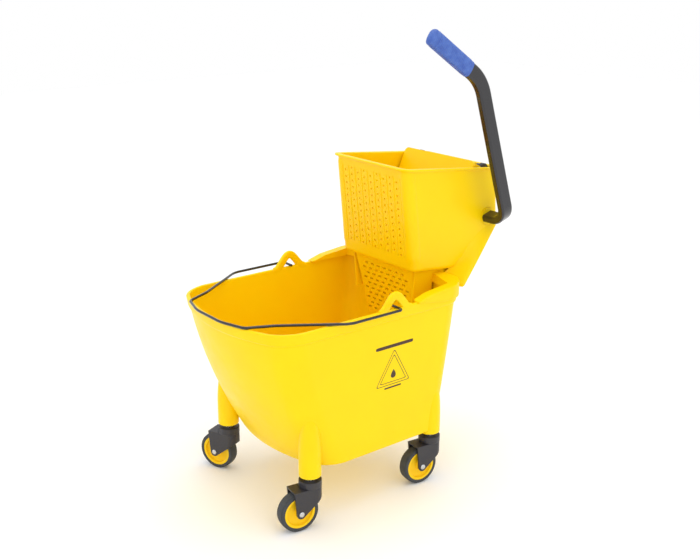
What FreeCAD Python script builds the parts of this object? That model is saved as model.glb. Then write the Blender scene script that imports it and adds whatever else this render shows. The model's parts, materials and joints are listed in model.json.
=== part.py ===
# A wheeled mopping bucket with a lift-off side-press wringer, as separate sub-parts.
# Millimetres. X runs across the bucket (+X is the side the lever is on), Y runs from the
# bowed front (-Y) to the wringer (+Y), and Z is up from the floor. Every size and place is
# written in a frame whose origin is on the floor midway between the four casters; centre_x
# and centre_y then shift all the sub-parts, so that the origin is the middle of the whole
# object's footprint.
import FreeCAD, Part
import math
import os
import re
import Sketcher
from FreeCAD import Placement, Rotation, Vector

X_AXIS = Vector(1, 0, 0)
Y_AXIS = Vector(0, 1, 0)
Z_AXIS = Vector(0, 0, 1)

SIZES = {
    # whole object
    "centre_x": (4.861, "shift that puts the footprint's middle at the origin"),
    "centre_y": (-42.25, "shift that puts the footprint's middle at the origin"),
    # bucket
    "tub_floor": (108.0, "underside of the bucket's floor"),
    "tub_belly": (235.0, "height of the middle section"),
    "rim_top": (388.0, "top of the rim"),
    "tub_wall": (4.0, "wall and floor thickness"),
    "floor_half": (150.0, "half width at the floor"),
    "belly_half": (157.0, "half width at the middle section"),
    "rim_half": (165.0, "half width at the rim"),
    "floor_front": (-147.0, "front of the bow at the floor"),
    "belly_front": (-209.0, "front of the bow at the middle section"),
    "rim_front": (-252.0, "front of the bow at the rim"),
    "floor_back": (165.0, "back wall at the floor"),
    "belly_back": (181.0, "back wall at the middle section"),
    "rim_back": (197.0, "back wall at the rim"),
    "bow_radius": (330.0, "radius of the bowed front"),
    "tub_corner": (36.0, "vertical corner radius of the bucket"),
    "band_deep": (20.0, "height of the band round the rim"),
    "band_proud": (3.2, "how far the band stands out"),
    "leg_x": (137.0, "caster centres, across"),
    "leg_y": (144.0, "caster centres, along"),
    "leg_radius": (20.5, "radius of a leg"),
    "leg_foot": (102.0, "underside of a leg"),
    "leg_top": (222.0, "where a leg has run into the wall"),
    "leg_bore": (8.05, "radius of the hole for the caster socket"),
    "leg_bore_deep": (50.0, "depth of that hole"),
    "ear_y": (28.0, "middle of an ear, and the bail's pivot"),
    "ear_top": (420.0, "top of an ear"),
    "ear_foot": (36.0, "half length of an ear at the rim"),
    "ear_crown": (11.0, "half length of an ear's round top"),
    "ear_slot_side": (6.0, "height of the straight sides of the slot over the wire"),
    "ear_slot_tip": (13.0, "height of the slot's tip over the wire"),
    "ear_thick": (6.0, "thickness of an ear"),
    "bail_height": (391.0, "height of the bail's wire at rest, and of its pivot"),
    "bail_radius": (2.5, "radius of the bail's wire"),
    "bail_gap": (0.06, "running clearance of the wire in an ear"),
    # bail
    "bail_half": (185.5, "half width between the bail's arms"),
    "bail_end": (156.0, "where a bent-in end of the bail stops"),
    "bail_knee_y": (-89.0, "end of the straight arms"),
    "bail_elbow_x": (113.5, "inner end of the slanting run"),
    "bail_elbow_y": (-194.0, "inner end of the slanting run"),
    "bail_corner_x": (90.0, "corner of the grab"),
    "bail_corner_y": (-243.0, "corner of the grab"),
    "bail_front_y": (-258.0, "front of the grab"),
    "bail_bend": (14.0, "bend radius of the bail"),
    # casters
    "wheel_radius": (37.5, "tyre's outer radius"),
    "tyre_inner": (30.1, "tyre's inner radius"),
    "tyre_side": (5.0, "depth of the tyre's rounded shoulder"),
    "tyre_shoulder": (6.0, "width of the tyre's rounded shoulder"),
    "tyre_round": (7.0, "radius of the tyre's rounded shoulder"),
    "tyre_wide": (23.0, "tyre's width"),
    "hub_radius": (30.0, "hub's outer radius"),
    "hub_wide": (20.0, "hub's width at its edge"),
    "hub_dish": (5.0, "how far a hub's face is sunk"),
    "hub_flange": (3.0, "width of the hub's raised rim, and of the slope inside it"),
    "hub_slope": (2.0, "slope round the hub's boss"),
    "hub_boss": (9.0, "radius of the hub's boss"),
    "axle_radius": (4.0, "axle's radius"),
    "axle_gap": (0.06, "running clearance on the axle and the stem"),
    "axle_half": (18.8, "half length of the axle with its heads"),
    "axle_lip": (1.5, "thickness of the axle's riveted head"),
    "axle_head": (5.4, "radius of an axle's head"),
    "caster_trail": (26.0, "wheel's centre behind the swivel's axis"),
    "fork_half": (17.0, "half width of the fork"),
    "fork_inner": (13.5, "half width inside the fork"),
    "fork_top": (82.0, "top of the fork's plate"),
    "fork_plate": (3.5, "thickness of the fork's plate"),
    "fork_nose": (20.0, "front of the fork, ahead of the swivel's axis"),
    "fork_nose_round": (14.0, "radius of the fork's front corners"),
    "fork_nose_thick": (7.5, "solid depth of the fork's front"),
    "fork_brow": (20.0, "height of the fork's front below its top"),
    "fork_clear": (5.0, "how far the fork's hollow is cut past it"),
    "fork_tail": (39.0, "back of the fork, behind the swivel's axis"),
    "fork_round": (9.0, "radius of a cheek round the axle"),
    "collar_radius": (21.0, "radius of the swivel's collar"),
    "collar_low": (82.2, "underside of the collar"),
    "collar_high": (95.0, "top of the collar"),
    "stem_radius": (4.8, "radius of a caster's stem"),
    "stem_top": (146.0, "top of a caster's stem"),
    "stem_low": (74.5, "underside of the stem's riveted head"),
    "stem_head": (8.5, "radius of that head"),
    "neck_radius": (10.0, "radius of the stem's flange"),
    "socket_radius": (8.0, "radius of the sleeve in a leg"),
    "socket_flange": (13.0, "radius of the sleeve's flange"),
    "socket_low": (99.6, "underside of the sleeve's flange"),
    "swivel_near_front": (81.6, "heading of this caster, in degrees"),
    "swivel_near_back": (84.3, "heading of this caster, in degrees"),
    "swivel_far_front": (23.6, "heading of this caster, in degrees"),
    "swivel_far_back": (62.0, "heading of this caster, in degrees"),
    # wringer
    "hopper_wall": (3.5, "wall thickness of the hopper"),
    "hopper_low": (424.0, "underside of the hopper's floor"),
    "hopper_knee": (482.0, "height where the back stops being upright"),
    "hopper_high": (626.0, "height of the hopper's top section, before its rim is cut"),
    "hopper_low_half": (107.0, "half width at the floor"),
    "hopper_knee_half": (106.4, "half width at the knee"),
    "hopper_high_half": (105.0, "half width at the top section"),
    "hopper_low_front": (120.5, "front wall at the floor"),
    "hopper_knee_front": (115.0, "front wall at the knee"),
    "hopper_high_front": (97.3, "front wall at the top section"),
    "hopper_low_back": (272.0, "back wall at the floor"),
    "hopper_knee_back": (345.0, "back wall at the knee"),
    "hopper_high_back": (336.0, "back wall at the top section"),
    "hopper_corner": (11.0, "vertical corner radius of the hopper"),
    "rim_front_high": (620.0, "top of the hopper at its front"),
    "rim_back_high": (594.0, "top of the hopper at its back"),
    "wing_half": (150.0, "half width of the flared back at the shelf"),
    "wing_front": (196.0, "front of the flared back at the shelf"),
    "wing_back": (216.0, "back of the flared back at the shelf"),
    "wing_top_front": (296.0, "front of the flared back at the knee"),
    "shelf_low": (388.4, "underside of the shelf, on the bucket's rim"),
    "shelf_front": (80.0, "front of the shelf"),
    "shelf_front_high": (396.0, "top of the shelf at its front"),
    "shelf_back_high": (409.0, "top of the shelf at its back"),
    "skirt_low": (378.0, "lower edge of the skirt round the rim"),
    "skirt_gap": (0.6, "gap between the rim's band and the skirt"),
    "skirt_wall": (2.8, "thickness of the skirt"),
    "skirt_corner": (38.0, "corner radius of the skirt"),
    "arm_half": (152.0, "inner edge of the shelf's arms, at their front"),
    "arm_back": (168.0, "back end of an arm's straight inner edge"),
    "cheek_half": (95.0, "outer face of a cheek between the shelf and the hopper"),
    "cheek_thick": (3.5, "thickness of a cheek"),
    "cheek_front": (138.0, "front end of a cheek"),
    "cheek_back": (238.0, "back end of a cheek"),
    "well_half": (84.0, "half width of the drain well in the shelf"),
    "well_front": (142.0, "front of the drain well"),
    "well_back": (184.0, "back of the drain well"),
    # strainer
    "cut_over": (1.0, "how far a cut starts outside the face it opens"),
    "push_gap": (0.1, "gap between parts that are pushed together"),
    "strainer_high": (423.6, "top of the strainer"),
    "strainer_low": (288.0, "underside of the strainer"),
    "strainer_high_half": (90.0, "half width at the top"),
    "strainer_low_half": (74.0, "half width at the bottom"),
    "strainer_high_front": (136.0, "front at the top"),
    "strainer_low_front": (160.0, "front at the bottom"),
    "strainer_high_back": (178.5, "back at the top"),
    "strainer_low_back": (173.0, "back at the bottom"),
    "strainer_wall": (3.0, "wall thickness of the strainer"),
    "slot_long": (10.0, "length of a drain slot"),
    "slot_high": (4.0, "height of a drain slot"),
    "slot_step_x": (18.0, "slots' spacing across"),
    "slot_step_z": (11.0, "slots' spacing up"),
    # press plate and its drive
    "hinge_y": (196.0, "press plate's hinge"),
    "hinge_z": (438.0, "press plate's hinge"),
    "hinge_rod": (4.0, "radius of the hinge rod"),
    "rod_half": (104.8, "half span between the rod's blind ends"),
    "knuckle_radius": (8.0, "radius of the press plate's barrel"),
    "plate_lean": (26.5, "backward lean of the plate at rest, in degrees"),
    "plate_long": (193.0, "plate's length from its hinge"),
    "plate_thick": (5.0, "thickness of the plate"),
    "plate_low_half": (92.5, "half width at the hinge"),
    "plate_high_half": (99.0, "half width at the top"),
    "shaft_y": (313.0, "cross shaft's axis"),
    "shaft_z": (501.0, "cross shaft's axis"),
    "shaft_radius": (8.0, "radius of the cross shaft"),
    "crank_long": (92.0, "from the shaft's axis to a roller's"),
    "crank_inner": (75.0, "inner face of a crank, from the middle"),
    "crank_thick": (8.0, "thickness of a crank"),
    "crank_hub": (15.0, "radius of a crank's hub"),
    "crank_tip": (8.0, "radius of a crank's tip"),
    "roller_radius": (10.0, "radius of a roller"),
    "roller_wide": (8.0, "width of a roller"),
    "roller_pin": (4.0, "radius of a roller's pin"),
    "roller_gap": (0.35, "gap between a roller and its cam at rest"),
    "press_ratio": (0.55, "plate's turn for each degree of the lever's"),
    "press_travel": (50.0, "lever's travel, in degrees"),
    "boss_radius": (23.0, "radius of the bearing boss in a side wall"),
    "boss_inner": (92.0, "inner face of a bearing boss"),
    "boss_outer": (107.6, "outer face of a bearing boss"),
    "journal_radius": (17.0, "radius of the lever's journal ring"),
    "far_bush_radius": (12.0, "radius of the far bush"),
    # lever
    "lever_x": (160.0, "plane of the lever"),
    "lever_start": (94.5, "inner end of the lever's tube"),
    "lever_bend_y": (226.0, "corner of the lever's upper bend"),
    "lever_bend_z": (775.0, "corner of the lever's upper bend"),
    "lever_end_y": (107.0, "end of the lever's tube"),
    "lever_end_z": (855.0, "end of the lever's tube"),
    "lever_elbow": (32.0, "radius of the elbow at the wall"),
    "lever_bend": (80.0, "radius of the upper bend"),
    "tube_wide": (28.0, "tube's width"),
    "tube_thin": (15.0, "tube's thickness"),
    "tube_corner": (4.5, "tube's outside corner radius"),
    "tube_wall": (1.5, "tube's wall"),
    "grip_wide": (31.0, "grip's width"),
    "grip_thin": (20.0, "grip's thickness"),
    "grip_corner": (8.5, "grip's corner radius"),
    "grip_beyond": (8.0, "how far the grip runs past the tube's end"),
    "grip_slip": (0.3, "how much wider the grip's bore is than the tube"),
    "grip_end_wall": (7.5, "thickness of the grip's closed end"),
    "grip_end_round": (6.0, "radius round the grip's closed end"),
    "grip_long": (114.0, "grip's length"),
    "spring_radius": (11.5, "radius of a return spring's coil"),
    "spring_wire": (1.1, "radius of a return spring's wire"),
    "spring_pitch": (2.9, "pitch of a return spring"),
    "spring_turns": (6.0, "turns of a return spring"),
    "spring_start": (46.0, "inner end of a return spring, from the middle"),
}

doc = FreeCAD.newDocument("MopBucket")
sheet = doc.addObject("Spreadsheet::Sheet", "Sizes")
for row, (alias, (value, note)) in enumerate(SIZES.items(), start=1):
    sheet.set(f"A{row}", note)
    sheet.set(f"B{row}", str(value))
    sheet.setAlias(f"B{row}", alias)
doc.recompute()

pieces = []


def formula(text):
    """Turn each word with an underscore into that cell of the sheet."""
    return re.sub(r"\b([a-z]+(?:_[a-z]+)+)\b", r"Sizes.\1", text)


def number(text):
    """The present value of a formula over the sheet's cells."""
    return float(sheet.evalExpression(formula(text)))


def place(piece, x="0", y="0", z="0", axis=Z_AXIS, turn="0"):
    """Put a piece at a formula's place and turn, with the common shift added."""
    piece.Placement = Placement(Vector(0, 0, 0), Rotation(axis, number(turn)))
    piece.setExpression("Placement.Base.x", formula(f"{x} + centre_x"))
    piece.setExpression("Placement.Base.y", formula(f"{y} + centre_y"))
    piece.setExpression("Placement.Base.z", formula(z))
    pieces.append(piece)


def new_body(name, **where):
    body = doc.addObject("PartDesign::Body", name)
    body.Label = name
    place(body, **where)
    return body


def new_shape(name, shape, **where):
    """A sub-part whose shape is made from sizes read off the sheet."""
    piece = doc.addObject("Part::Feature", name)
    piece.Label = name
    piece.Shape = shape
    place(piece, **where)
    return piece


def new_sketch(body, plane, height="0"):
    """A sketch on one of the body's own origin planes, raised by a formula."""
    sketch = body.newObject("Sketcher::SketchObject", "Sketch")
    support = [item for item in body.Origin.OriginFeatures if item.Role == plane][0]
    sketch.AttachmentSupport = [(support, "")]
    sketch.MapMode = "FlatFace"
    sketch.setExpression("AttachmentOffset.Base.z", formula(height))
    return sketch


def bind(sketch, kind, *ends, size):
    """Add a dimension to a sketch and bind it to a formula."""
    index = sketch.addConstraint(Sketcher.Constraint(kind, *ends, number(size)))
    sketch.setExpression(f"Constraints[{index}]", formula(size))


def pin_point(sketch, item, end, x, y):
    """Fix one end of a sketch item at formulas for its two coordinates."""
    bind(sketch, "DistanceX", -1, 1, item, end, size=x)
    bind(sketch, "DistanceY", -1, 1, item, end, size=y)


def add_circle(sketch, x, y, radius):
    centre = Vector(number(x), number(y), 0)
    item = sketch.addGeometry(Part.Circle(centre, Z_AXIS, number(radius)), False)
    pin_point(sketch, item, 3, x, y)
    bind(sketch, "Radius", item, size=radius)


def add_outline(sketch, corners):
    """A closed outline. A corner is (x, y), or (x, y, radius) where the run to the next
    corner is an arc that bulges to the right of the way round."""
    spots = [Vector(number(corner[0]), number(corner[1]), 0) for corner in corners]
    ends = []
    for index, corner in enumerate(corners):
        start = spots[index]
        stop = spots[(index + 1) % len(corners)]
        if len(corner) == 2:
            item = sketch.addGeometry(Part.LineSegment(start, stop), False)
            ends.append((item, 1, 2))
            continue
        radius = number(corner[2])
        chord = stop - start
        side = Vector(-chord.y, chord.x, 0).normalize()
        depth = math.sqrt(max(radius ** 2 - (chord.Length / 2) ** 2, 0))
        centre = (start + stop) / 2 + side * depth
        first = math.atan2(start.y - centre.y, start.x - centre.x)
        last = math.atan2(stop.y - centre.y, stop.x - centre.x)
        circle = Part.Circle(centre, Z_AXIS, radius)
        item = sketch.addGeometry(Part.ArcOfCircle(circle, first, last), False)
        bind(sketch, "Radius", item, size=corner[2])
        ends.append((item, 1, 2))
    for index, (item, start, stop) in enumerate(ends):
        after = ends[(index + 1) % len(ends)]
        sketch.addConstraint(Sketcher.Constraint("Coincident", item, stop, after[0], after[1]))
        pin_point(sketch, item, start, corners[index][0], corners[index][1])


def add_rounded(sketch, half, front, back, corner, bow=None):
    """A rectangle with round corners, mirrored about the middle plane. With a bow, its
    front side is an arc of that radius whose foremost point is at front."""
    wide, low, high, round_ = number(half), number(front), number(back), number(corner)
    if bow:
        reach = number(bow)
        low_y = low + reach - math.sqrt((reach - round_) ** 2 - (wide - round_) ** 2)
        lean = math.atan2(wide - round_, low + reach - low_y)
        hub = Vector(0, low + reach, 0)
        span = (1.5 * math.pi - lean, 1.5 * math.pi + lean)
        front_item = Part.ArcOfCircle(Part.Circle(hub, Z_AXIS, reach), *span)
    else:
        low_y = low + round_
        lean = 0.0
        front_item = Part.LineSegment(Vector(round_ - wide, low, 0), Vector(wide - round_, low, 0))

    def turn(x, y, first, last):
        return Part.ArcOfCircle(Part.Circle(Vector(x, y, 0), Z_AXIS, round_), first, last)

    quarter = math.pi / 2
    high_y = high - round_
    edge = wide - round_
    items = [
        front_item,
        turn(edge, low_y, lean - quarter, 0),
        Part.LineSegment(Vector(wide, low_y, 0), Vector(wide, high_y, 0)),
        turn(edge, high_y, 0, quarter),
        Part.LineSegment(Vector(edge, high, 0), Vector(-edge, high, 0)),
        turn(-edge, high_y, quarter, 2 * quarter),
        Part.LineSegment(Vector(-wide, high_y, 0), Vector(-wide, low_y, 0)),
        turn(-edge, low_y, 2 * quarter, 3 * quarter - lean),
    ]
    first = sketch.addGeometry(items, False)[0]
    for index in range(8):
        after = first + (index + 1) % 8
        sketch.addConstraint(Sketcher.Constraint("Tangent", first + index, 2, after, 1))
    for side in (2, 6):
        sketch.addConstraint(Sketcher.Constraint("Vertical", first + side))
    sketch.addConstraint(Sketcher.Constraint("Horizontal", first + 4))
    for index in (3, 5, 7):
        sketch.addConstraint(Sketcher.Constraint("Equal", first + 1, first + index))
    bind(sketch, "Radius", first + 1, size=corner)
    bind(sketch, "DistanceX", -1, 1, first + 2, 1, size=half)
    bind(sketch, "DistanceX", -1, 1, first + 6, 1, size=f"-({half})")
    bind(sketch, "DistanceY", -1, 1, first + 4, 1, size=back)
    if bow:
        bind(sketch, "Radius", first, size=bow)
        sketch.addConstraint(Sketcher.Constraint("PointOnObject", first, 3, -2))
        bind(sketch, "DistanceY", -1, 1, first, 3, size=f"{front} + {bow}")
    else:
        sketch.addConstraint(Sketcher.Constraint("Horizontal", first))
        bind(sketch, "DistanceY", -1, 1, first, 1, size=front)


def add_link(sketch, start, stop, start_radius, stop_radius):
    """A link's outline: two circles joined by their outer tangents. Equal radii make a slot."""
    base = Vector(number(start[0]), number(start[1]), 0)
    tip = Vector(number(stop[0]), number(stop[1]), 0)
    base_radius, tip_radius = number(start_radius), number(stop_radius)
    along = tip - base
    slope = math.asin((base_radius - tip_radius) / along.Length)
    heading = math.atan2(along.y, along.x)
    left, right = heading + math.pi / 2 - slope, heading - math.pi / 2 + slope

    def rim(centre, radius, angle):
        return centre + Vector(radius * math.cos(angle), radius * math.sin(angle), 0)

    base_circle = Part.Circle(base, Z_AXIS, base_radius)
    tip_circle = Part.Circle(tip, Z_AXIS, tip_radius)
    items = [
        Part.LineSegment(rim(base, base_radius, right), rim(tip, tip_radius, right)),
        Part.ArcOfCircle(tip_circle, right, left),
        Part.LineSegment(rim(tip, tip_radius, left), rim(base, base_radius, left)),
        Part.ArcOfCircle(base_circle, left, right + 2 * math.pi),
    ]
    first = sketch.addGeometry(items, False)[0]
    for index in range(4):
        after = first + (index + 1) % 4
        sketch.addConstraint(Sketcher.Constraint("Tangent", first + index, 2, after, 1))
    pin_point(sketch, first + 3, 3, *start)
    pin_point(sketch, first + 1, 3, *stop)
    bind(sketch, "Radius", first + 3, size=start_radius)
    bind(sketch, "Radius", first + 1, size=stop_radius)


def extrude(body, kind, sketch, length, midplane=False, backward=False):
    """A Pad or a Pocket of a sketch. A Pocket must take material away."""
    doc.recompute()
    if sketch.Shape.isNull() or not sketch.Shape.Wires:
        raise RuntimeError(f"{body.Label}: {sketch.Name} has no outline")
    before = body.Shape.Volume if kind == "Pocket" else 0.0
    feature = body.newObject(f"PartDesign::{kind}", kind)
    feature.Profile = sketch
    feature.setExpression("Length", formula(length))
    feature.Midplane = midplane
    feature.Reversed = backward
    doc.recompute()
    if kind == "Pocket" and body.Shape.Volume >= before - 1e-3:
        raise RuntimeError(f"{body.Label}: {feature.Name} cuts nothing")
    return feature


def pad(body, sketch, length, **options):
    return extrude(body, "Pad", sketch, length, **options)


def pocket(body, sketch, length, **options):
    return extrude(body, "Pocket", sketch, length, **options)


def loft(body, kind, sketches, ruled=True):
    feature = body.newObject(f"PartDesign::{kind}Loft", f"{kind}Loft")
    feature.Profile = sketches[0]
    feature.Sections = sketches[1:]
    feature.Ruled = ruled
    doc.recompute()
    return feature


def revolve(body, sketch, axis="V_Axis"):
    """Turn a sketch right round one of its own axes."""
    feature = body.newObject("PartDesign::Revolution", "Revolution")
    feature.Profile = sketch
    feature.ReferenceAxis = (sketch, [axis])
    feature.Angle = 360
    doc.recompute()
    return feature


def mirror(body, features):
    """Repeat features on the far side of the body's middle plane."""
    feature = body.newObject("PartDesign::Mirrored", "Mirrored")
    middle = [item for item in body.Origin.OriginFeatures if item.Role == "YZ_Plane"][0]
    feature.Originals = features
    feature.MirrorPlane = (middle, [""])
    body.Tip = feature
    doc.recompute()
    return feature


def make_ring(name, inner, outer, length, **where):
    """A plain round ring or disc, standing on its own XY plane."""
    body = new_body(name, **where)
    sketch = new_sketch(body, "XY_Plane")
    add_circle(sketch, "0", "0", outer)
    if inner:
        add_circle(sketch, "0", "0", inner)
    pad(body, sketch, length)
    return body


def rounded_wire(points, radii):
    """A wire through the points, straight between tangent arcs at the inner ones."""
    edges = []
    last = points[0]
    for index in range(1, len(points) - 1):
        corner = points[index]
        back = (points[index - 1] - corner).normalize()
        ahead = (points[index + 1] - corner).normalize()
        half_open = back.getAngle(ahead) / 2
        reach = radii[index - 1] / math.tan(half_open)
        start = corner + back * reach
        stop = corner + ahead * reach
        to_centre = (back + ahead).normalize()
        crown = corner + to_centre * (radii[index - 1] / math.sin(half_open) - radii[index - 1])
        edges.append(Part.makeLine(last, start))
        edges.append(Part.Arc(start, crown, stop).toShape())
        last = stop
    edges.append(Part.makeLine(last, points[-1]))
    return Part.Wire(edges)


def rounded_outline(centre, long_way, thin_way, wide, thin, corner):
    """A rectangle with round corners about a centre, in the plane of two unit vectors."""
    signs = [(1, 1), (-1, 1), (-1, -1), (1, -1)]
    points = []
    for step, (across, up) in enumerate(signs):
        hub = (centre + long_way * (across * (wide / 2 - corner))
               + thin_way * (up * (thin / 2 - corner)))
        turns = [math.radians(90 * step + part) for part in (0, 45, 90)]
        points.append([
            hub + long_way * (corner * math.cos(turn)) + thin_way * (corner * math.sin(turn))
            for turn in turns])
    edges = []
    for step, (start, middle, stop) in enumerate(points):
        edges.append(Part.Arc(start, middle, stop).toShape())
        edges.append(Part.makeLine(stop, points[(step + 1) % 4][0]))
    return Part.Wire(edges)


def swept(path, outline):
    return path.makePipeShell([outline], True, False)


# ---------------------------------------------------------------- bucket

def tub_section(body, height, level, inset="0"):
    """The bucket's outline at one of its three levels, moved in by inset."""
    sketch = new_sketch(body, "XY_Plane", height)
    add_rounded(
        sketch, f"{level}_half - {inset}", f"{level}_front + {inset}",
        f"{level}_back - {inset}", f"tub_corner - {inset}", f"bow_radius - {inset}")
    return sketch


def make_bucket_tub():
    """An open tub with a bowed front, a banded rim, four round legs and two bail ears."""
    body = new_body("bucket_tub")
    levels = [("tub_floor", "floor"), ("tub_belly", "belly"), ("rim_top", "rim")]
    loft(body, "Additive", [tub_section(body, *level) for level in levels], ruled=False)
    band = tub_section(body, "rim_top - band_deep", "rim", "-band_proud")
    pad(body, band, "band_deep")
    levels[0] = ("tub_floor + tub_wall", "floor")
    inner = [tub_section(body, *level, inset="tub_wall") for level in levels]
    loft(body, "Subtractive", inner, ruled=False)

    ear = new_sketch(body, "YZ_Plane", "rim_half + band_proud - ear_thick")
    add_outline(ear, [
        ("ear_y - ear_foot", "rim_top - ear_thick"),
        ("ear_y + ear_foot", "rim_top - ear_thick"),
        ("ear_y + ear_foot", "rim_top"),
        ("ear_y + ear_crown", "ear_top - ear_thick", "ear_crown * 1.15"),
        ("ear_y - ear_crown", "ear_top - ear_thick"),
        ("ear_y - ear_foot", "rim_top"),
    ])
    ear_pad = pad(body, ear, "ear_thick")
    hole = new_sketch(body, "YZ_Plane", "rim_half + band_proud - ear_thick - cut_over")
    add_circle(hole, "ear_y", "bail_height", "bail_radius + bail_gap")
    ear_hole = pocket(body, hole, "ear_thick + cut_over * 2", backward=True)
    slot = new_sketch(body, "YZ_Plane", "rim_half + band_proud - ear_thick - cut_over")
    add_outline(slot, [
        ("ear_y - bail_radius", "bail_height"),
        ("ear_y + bail_radius", "bail_height"),
        ("ear_y + bail_radius", "bail_height + ear_slot_side"),
        ("ear_y", "bail_height + ear_slot_tip"),
        ("ear_y - bail_radius", "bail_height + ear_slot_side"),
    ])
    ear_slot = pocket(body, slot, "ear_thick + cut_over * 2", backward=True)
    mirror(body, [ear_pad, ear_hole, ear_slot])

    spots = [(f"{side}leg_x", f"{end}leg_y") for side in ("", "-") for end in ("", "-")]
    legs = new_sketch(body, "XY_Plane", "leg_foot")
    for x, y in spots:
        add_circle(legs, x, y, "leg_radius")
    pad(body, legs, "leg_top - leg_foot")
    bores = new_sketch(body, "XY_Plane", "leg_foot")
    for x, y in spots:
        add_circle(bores, x, y, "leg_bore")
    pocket(body, bores, "leg_bore_deep", backward=True)


def make_bail_wire():
    """The carrying bail: one wire, bent in at both ends to turn in the ears."""
    height = number("bail_height")
    side = [
        ("bail_end", "ear_y"), ("bail_half", "ear_y"), ("bail_half", "bail_knee_y"),
        ("bail_elbow_x", "bail_elbow_y"), ("bail_corner_x", "bail_corner_y")]
    near = [Vector(number(x), number(y), height) for x, y in side]
    far = [Vector(-point.x, point.y, height) for point in reversed(near)]
    front = [
        Vector(near[-1].x * 0.45, number("bail_front_y"), height),
        Vector(-near[-1].x * 0.45, number("bail_front_y"), height)]
    bend = number("bail_bend")
    radii = [bend * 0.6, bend * 3, bend * 2, bend, 90, 90, bend, bend * 2, bend * 3, bend * 0.6]
    path = rounded_wire(near + front + far, radii)
    outline = Part.Wire([Part.makeCircle(number("bail_radius"), near[0], X_AXIS)])
    new_shape("bail_wire", swept(path, outline))


# ---------------------------------------------------------------- casters

def wheel_place(spot, heading):
    """Placement formulas of a wheel's centre, behind its swivel."""
    return {
        "x": f"{spot['x']} - caster_trail * cos({heading} * 1deg)",
        "y": f"{spot['y']} - caster_trail * sin({heading} * 1deg)",
        "z": "wheel_radius",
        "turn": heading,
    }


def make_fork(name, spot):
    """A fork: two cheeks hung from a plate, rounded in front and open behind."""
    body = new_body(name, **spot)
    side = new_sketch(body, "XZ_Plane")
    add_outline(side, [
        ("-fork_tail", "fork_top"),
        ("-caster_trail - fork_round", "wheel_radius", "fork_round"),
        ("-caster_trail + fork_round * 0.8", "wheel_radius - fork_round * 0.6"),
        ("fork_nose", "fork_top - fork_brow"),
        ("fork_nose", "fork_top"),
    ])
    block = pad(body, side, "fork_half * 2", midplane=True)
    nose = number("fork_nose")
    uprights = [f"Edge{index + 1}" for index, edge in enumerate(block.Shape.Edges)
                if edge.BoundBox.ZLength > 5 and abs(edge.CenterOfMass.x - nose) < 0.01]
    fillet = body.newObject("PartDesign::Fillet", "Fillet")
    fillet.Base = (block, uprights)
    fillet.setExpression("Radius", formula("fork_nose_round"))
    inside = new_sketch(body, "XZ_Plane")
    add_outline(inside, [
        ("-fork_tail - fork_clear", "wheel_radius - fork_round - fork_clear"),
        ("fork_nose - fork_nose_thick", "wheel_radius - fork_round - fork_clear"),
        ("fork_nose - fork_nose_thick", "fork_top - fork_plate"),
        ("-fork_tail - fork_clear", "fork_top - fork_plate"),
    ])
    pocket(body, inside, "fork_inner * 2", midplane=True)
    stem_hole = new_sketch(body, "XY_Plane", "fork_top")
    add_circle(stem_hole, "0", "0", "stem_radius + axle_gap")
    pocket(body, stem_hole, "fork_plate")
    axle_hole = new_sketch(body, "XZ_Plane")
    add_circle(axle_hole, "-caster_trail", "wheel_radius", "axle_radius + axle_gap")
    pocket(body, axle_hole, "fork_half * 2", midplane=True)


def make_stem(name, spot):
    """The pin a caster turns on: it holds in the leg and is riveted under the fork."""
    body = new_body(name, **spot)
    side = new_sketch(body, "XZ_Plane")
    add_outline(side, [
        ("0", "stem_low"),
        ("stem_head", "stem_low"),
        ("stem_head", "fork_top - fork_plate - 0.3"),
        ("stem_radius", "fork_top - fork_plate - 0.3"),
        ("stem_radius", "collar_high + 0.3"),
        ("neck_radius", "collar_high + 0.3"),
        ("neck_radius", "socket_low - push_gap"),
        ("stem_radius", "socket_low - push_gap"),
        ("stem_radius", "stem_top - 3"),
        ("stem_radius - 2", "stem_top"),
        ("0", "stem_top"),
    ])
    revolve(body, side)


def make_socket(name, spot):
    """The flanged sleeve in a leg that grips a caster's stem."""
    body = new_body(name, **spot)
    side = new_sketch(body, "XZ_Plane")
    add_outline(side, [
        ("stem_radius + 0.05", "socket_low"),
        ("socket_flange", "socket_low"),
        ("socket_flange", "leg_foot - push_gap"),
        ("socket_radius", "leg_foot - push_gap"),
        ("socket_radius", "stem_top"),
        ("stem_radius + 0.05", "stem_top"),
    ])
    revolve(body, side)


def make_axle(name, where):
    """A rivet with a head at each end, across the fork."""
    body = new_body(name, **where)
    side = new_sketch(body, "XY_Plane")
    add_outline(side, [
        ("0", "-axle_half"),
        ("axle_head - axle_lip", "-axle_half"),
        ("axle_head", "-axle_half + axle_lip"),
        ("axle_radius", "-axle_half + axle_lip"),
        ("axle_radius", "axle_half - axle_lip"),
        ("axle_head", "axle_half - axle_lip"),
        ("axle_head - axle_lip", "axle_half"),
        ("0", "axle_half"),
    ])
    revolve(body, side)


def make_hub(name, where):
    """A dished wheel centre with a boss that runs on the axle."""
    body = new_body(name, **where)
    side = new_sketch(body, "XY_Plane")
    add_outline(side, [
        ("axle_radius + axle_gap", "-hub_wide / 2"),
        ("hub_boss", "-hub_wide / 2"),
        ("hub_boss + hub_slope", "-hub_wide / 2 + hub_dish"),
        ("hub_radius - hub_flange * 2", "-hub_wide / 2 + hub_dish"),
        ("hub_radius - hub_flange", "-hub_wide / 2"),
        ("hub_radius", "-hub_wide / 2"),
        ("hub_radius", "hub_wide / 2"),
        ("hub_radius - hub_flange", "hub_wide / 2"),
        ("hub_radius - hub_flange * 2", "hub_wide / 2 - hub_dish"),
        ("hub_boss + hub_slope", "hub_wide / 2 - hub_dish"),
        ("hub_boss", "hub_wide / 2"),
        ("axle_radius + axle_gap", "hub_wide / 2"),
    ])
    revolve(body, side)


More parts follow.
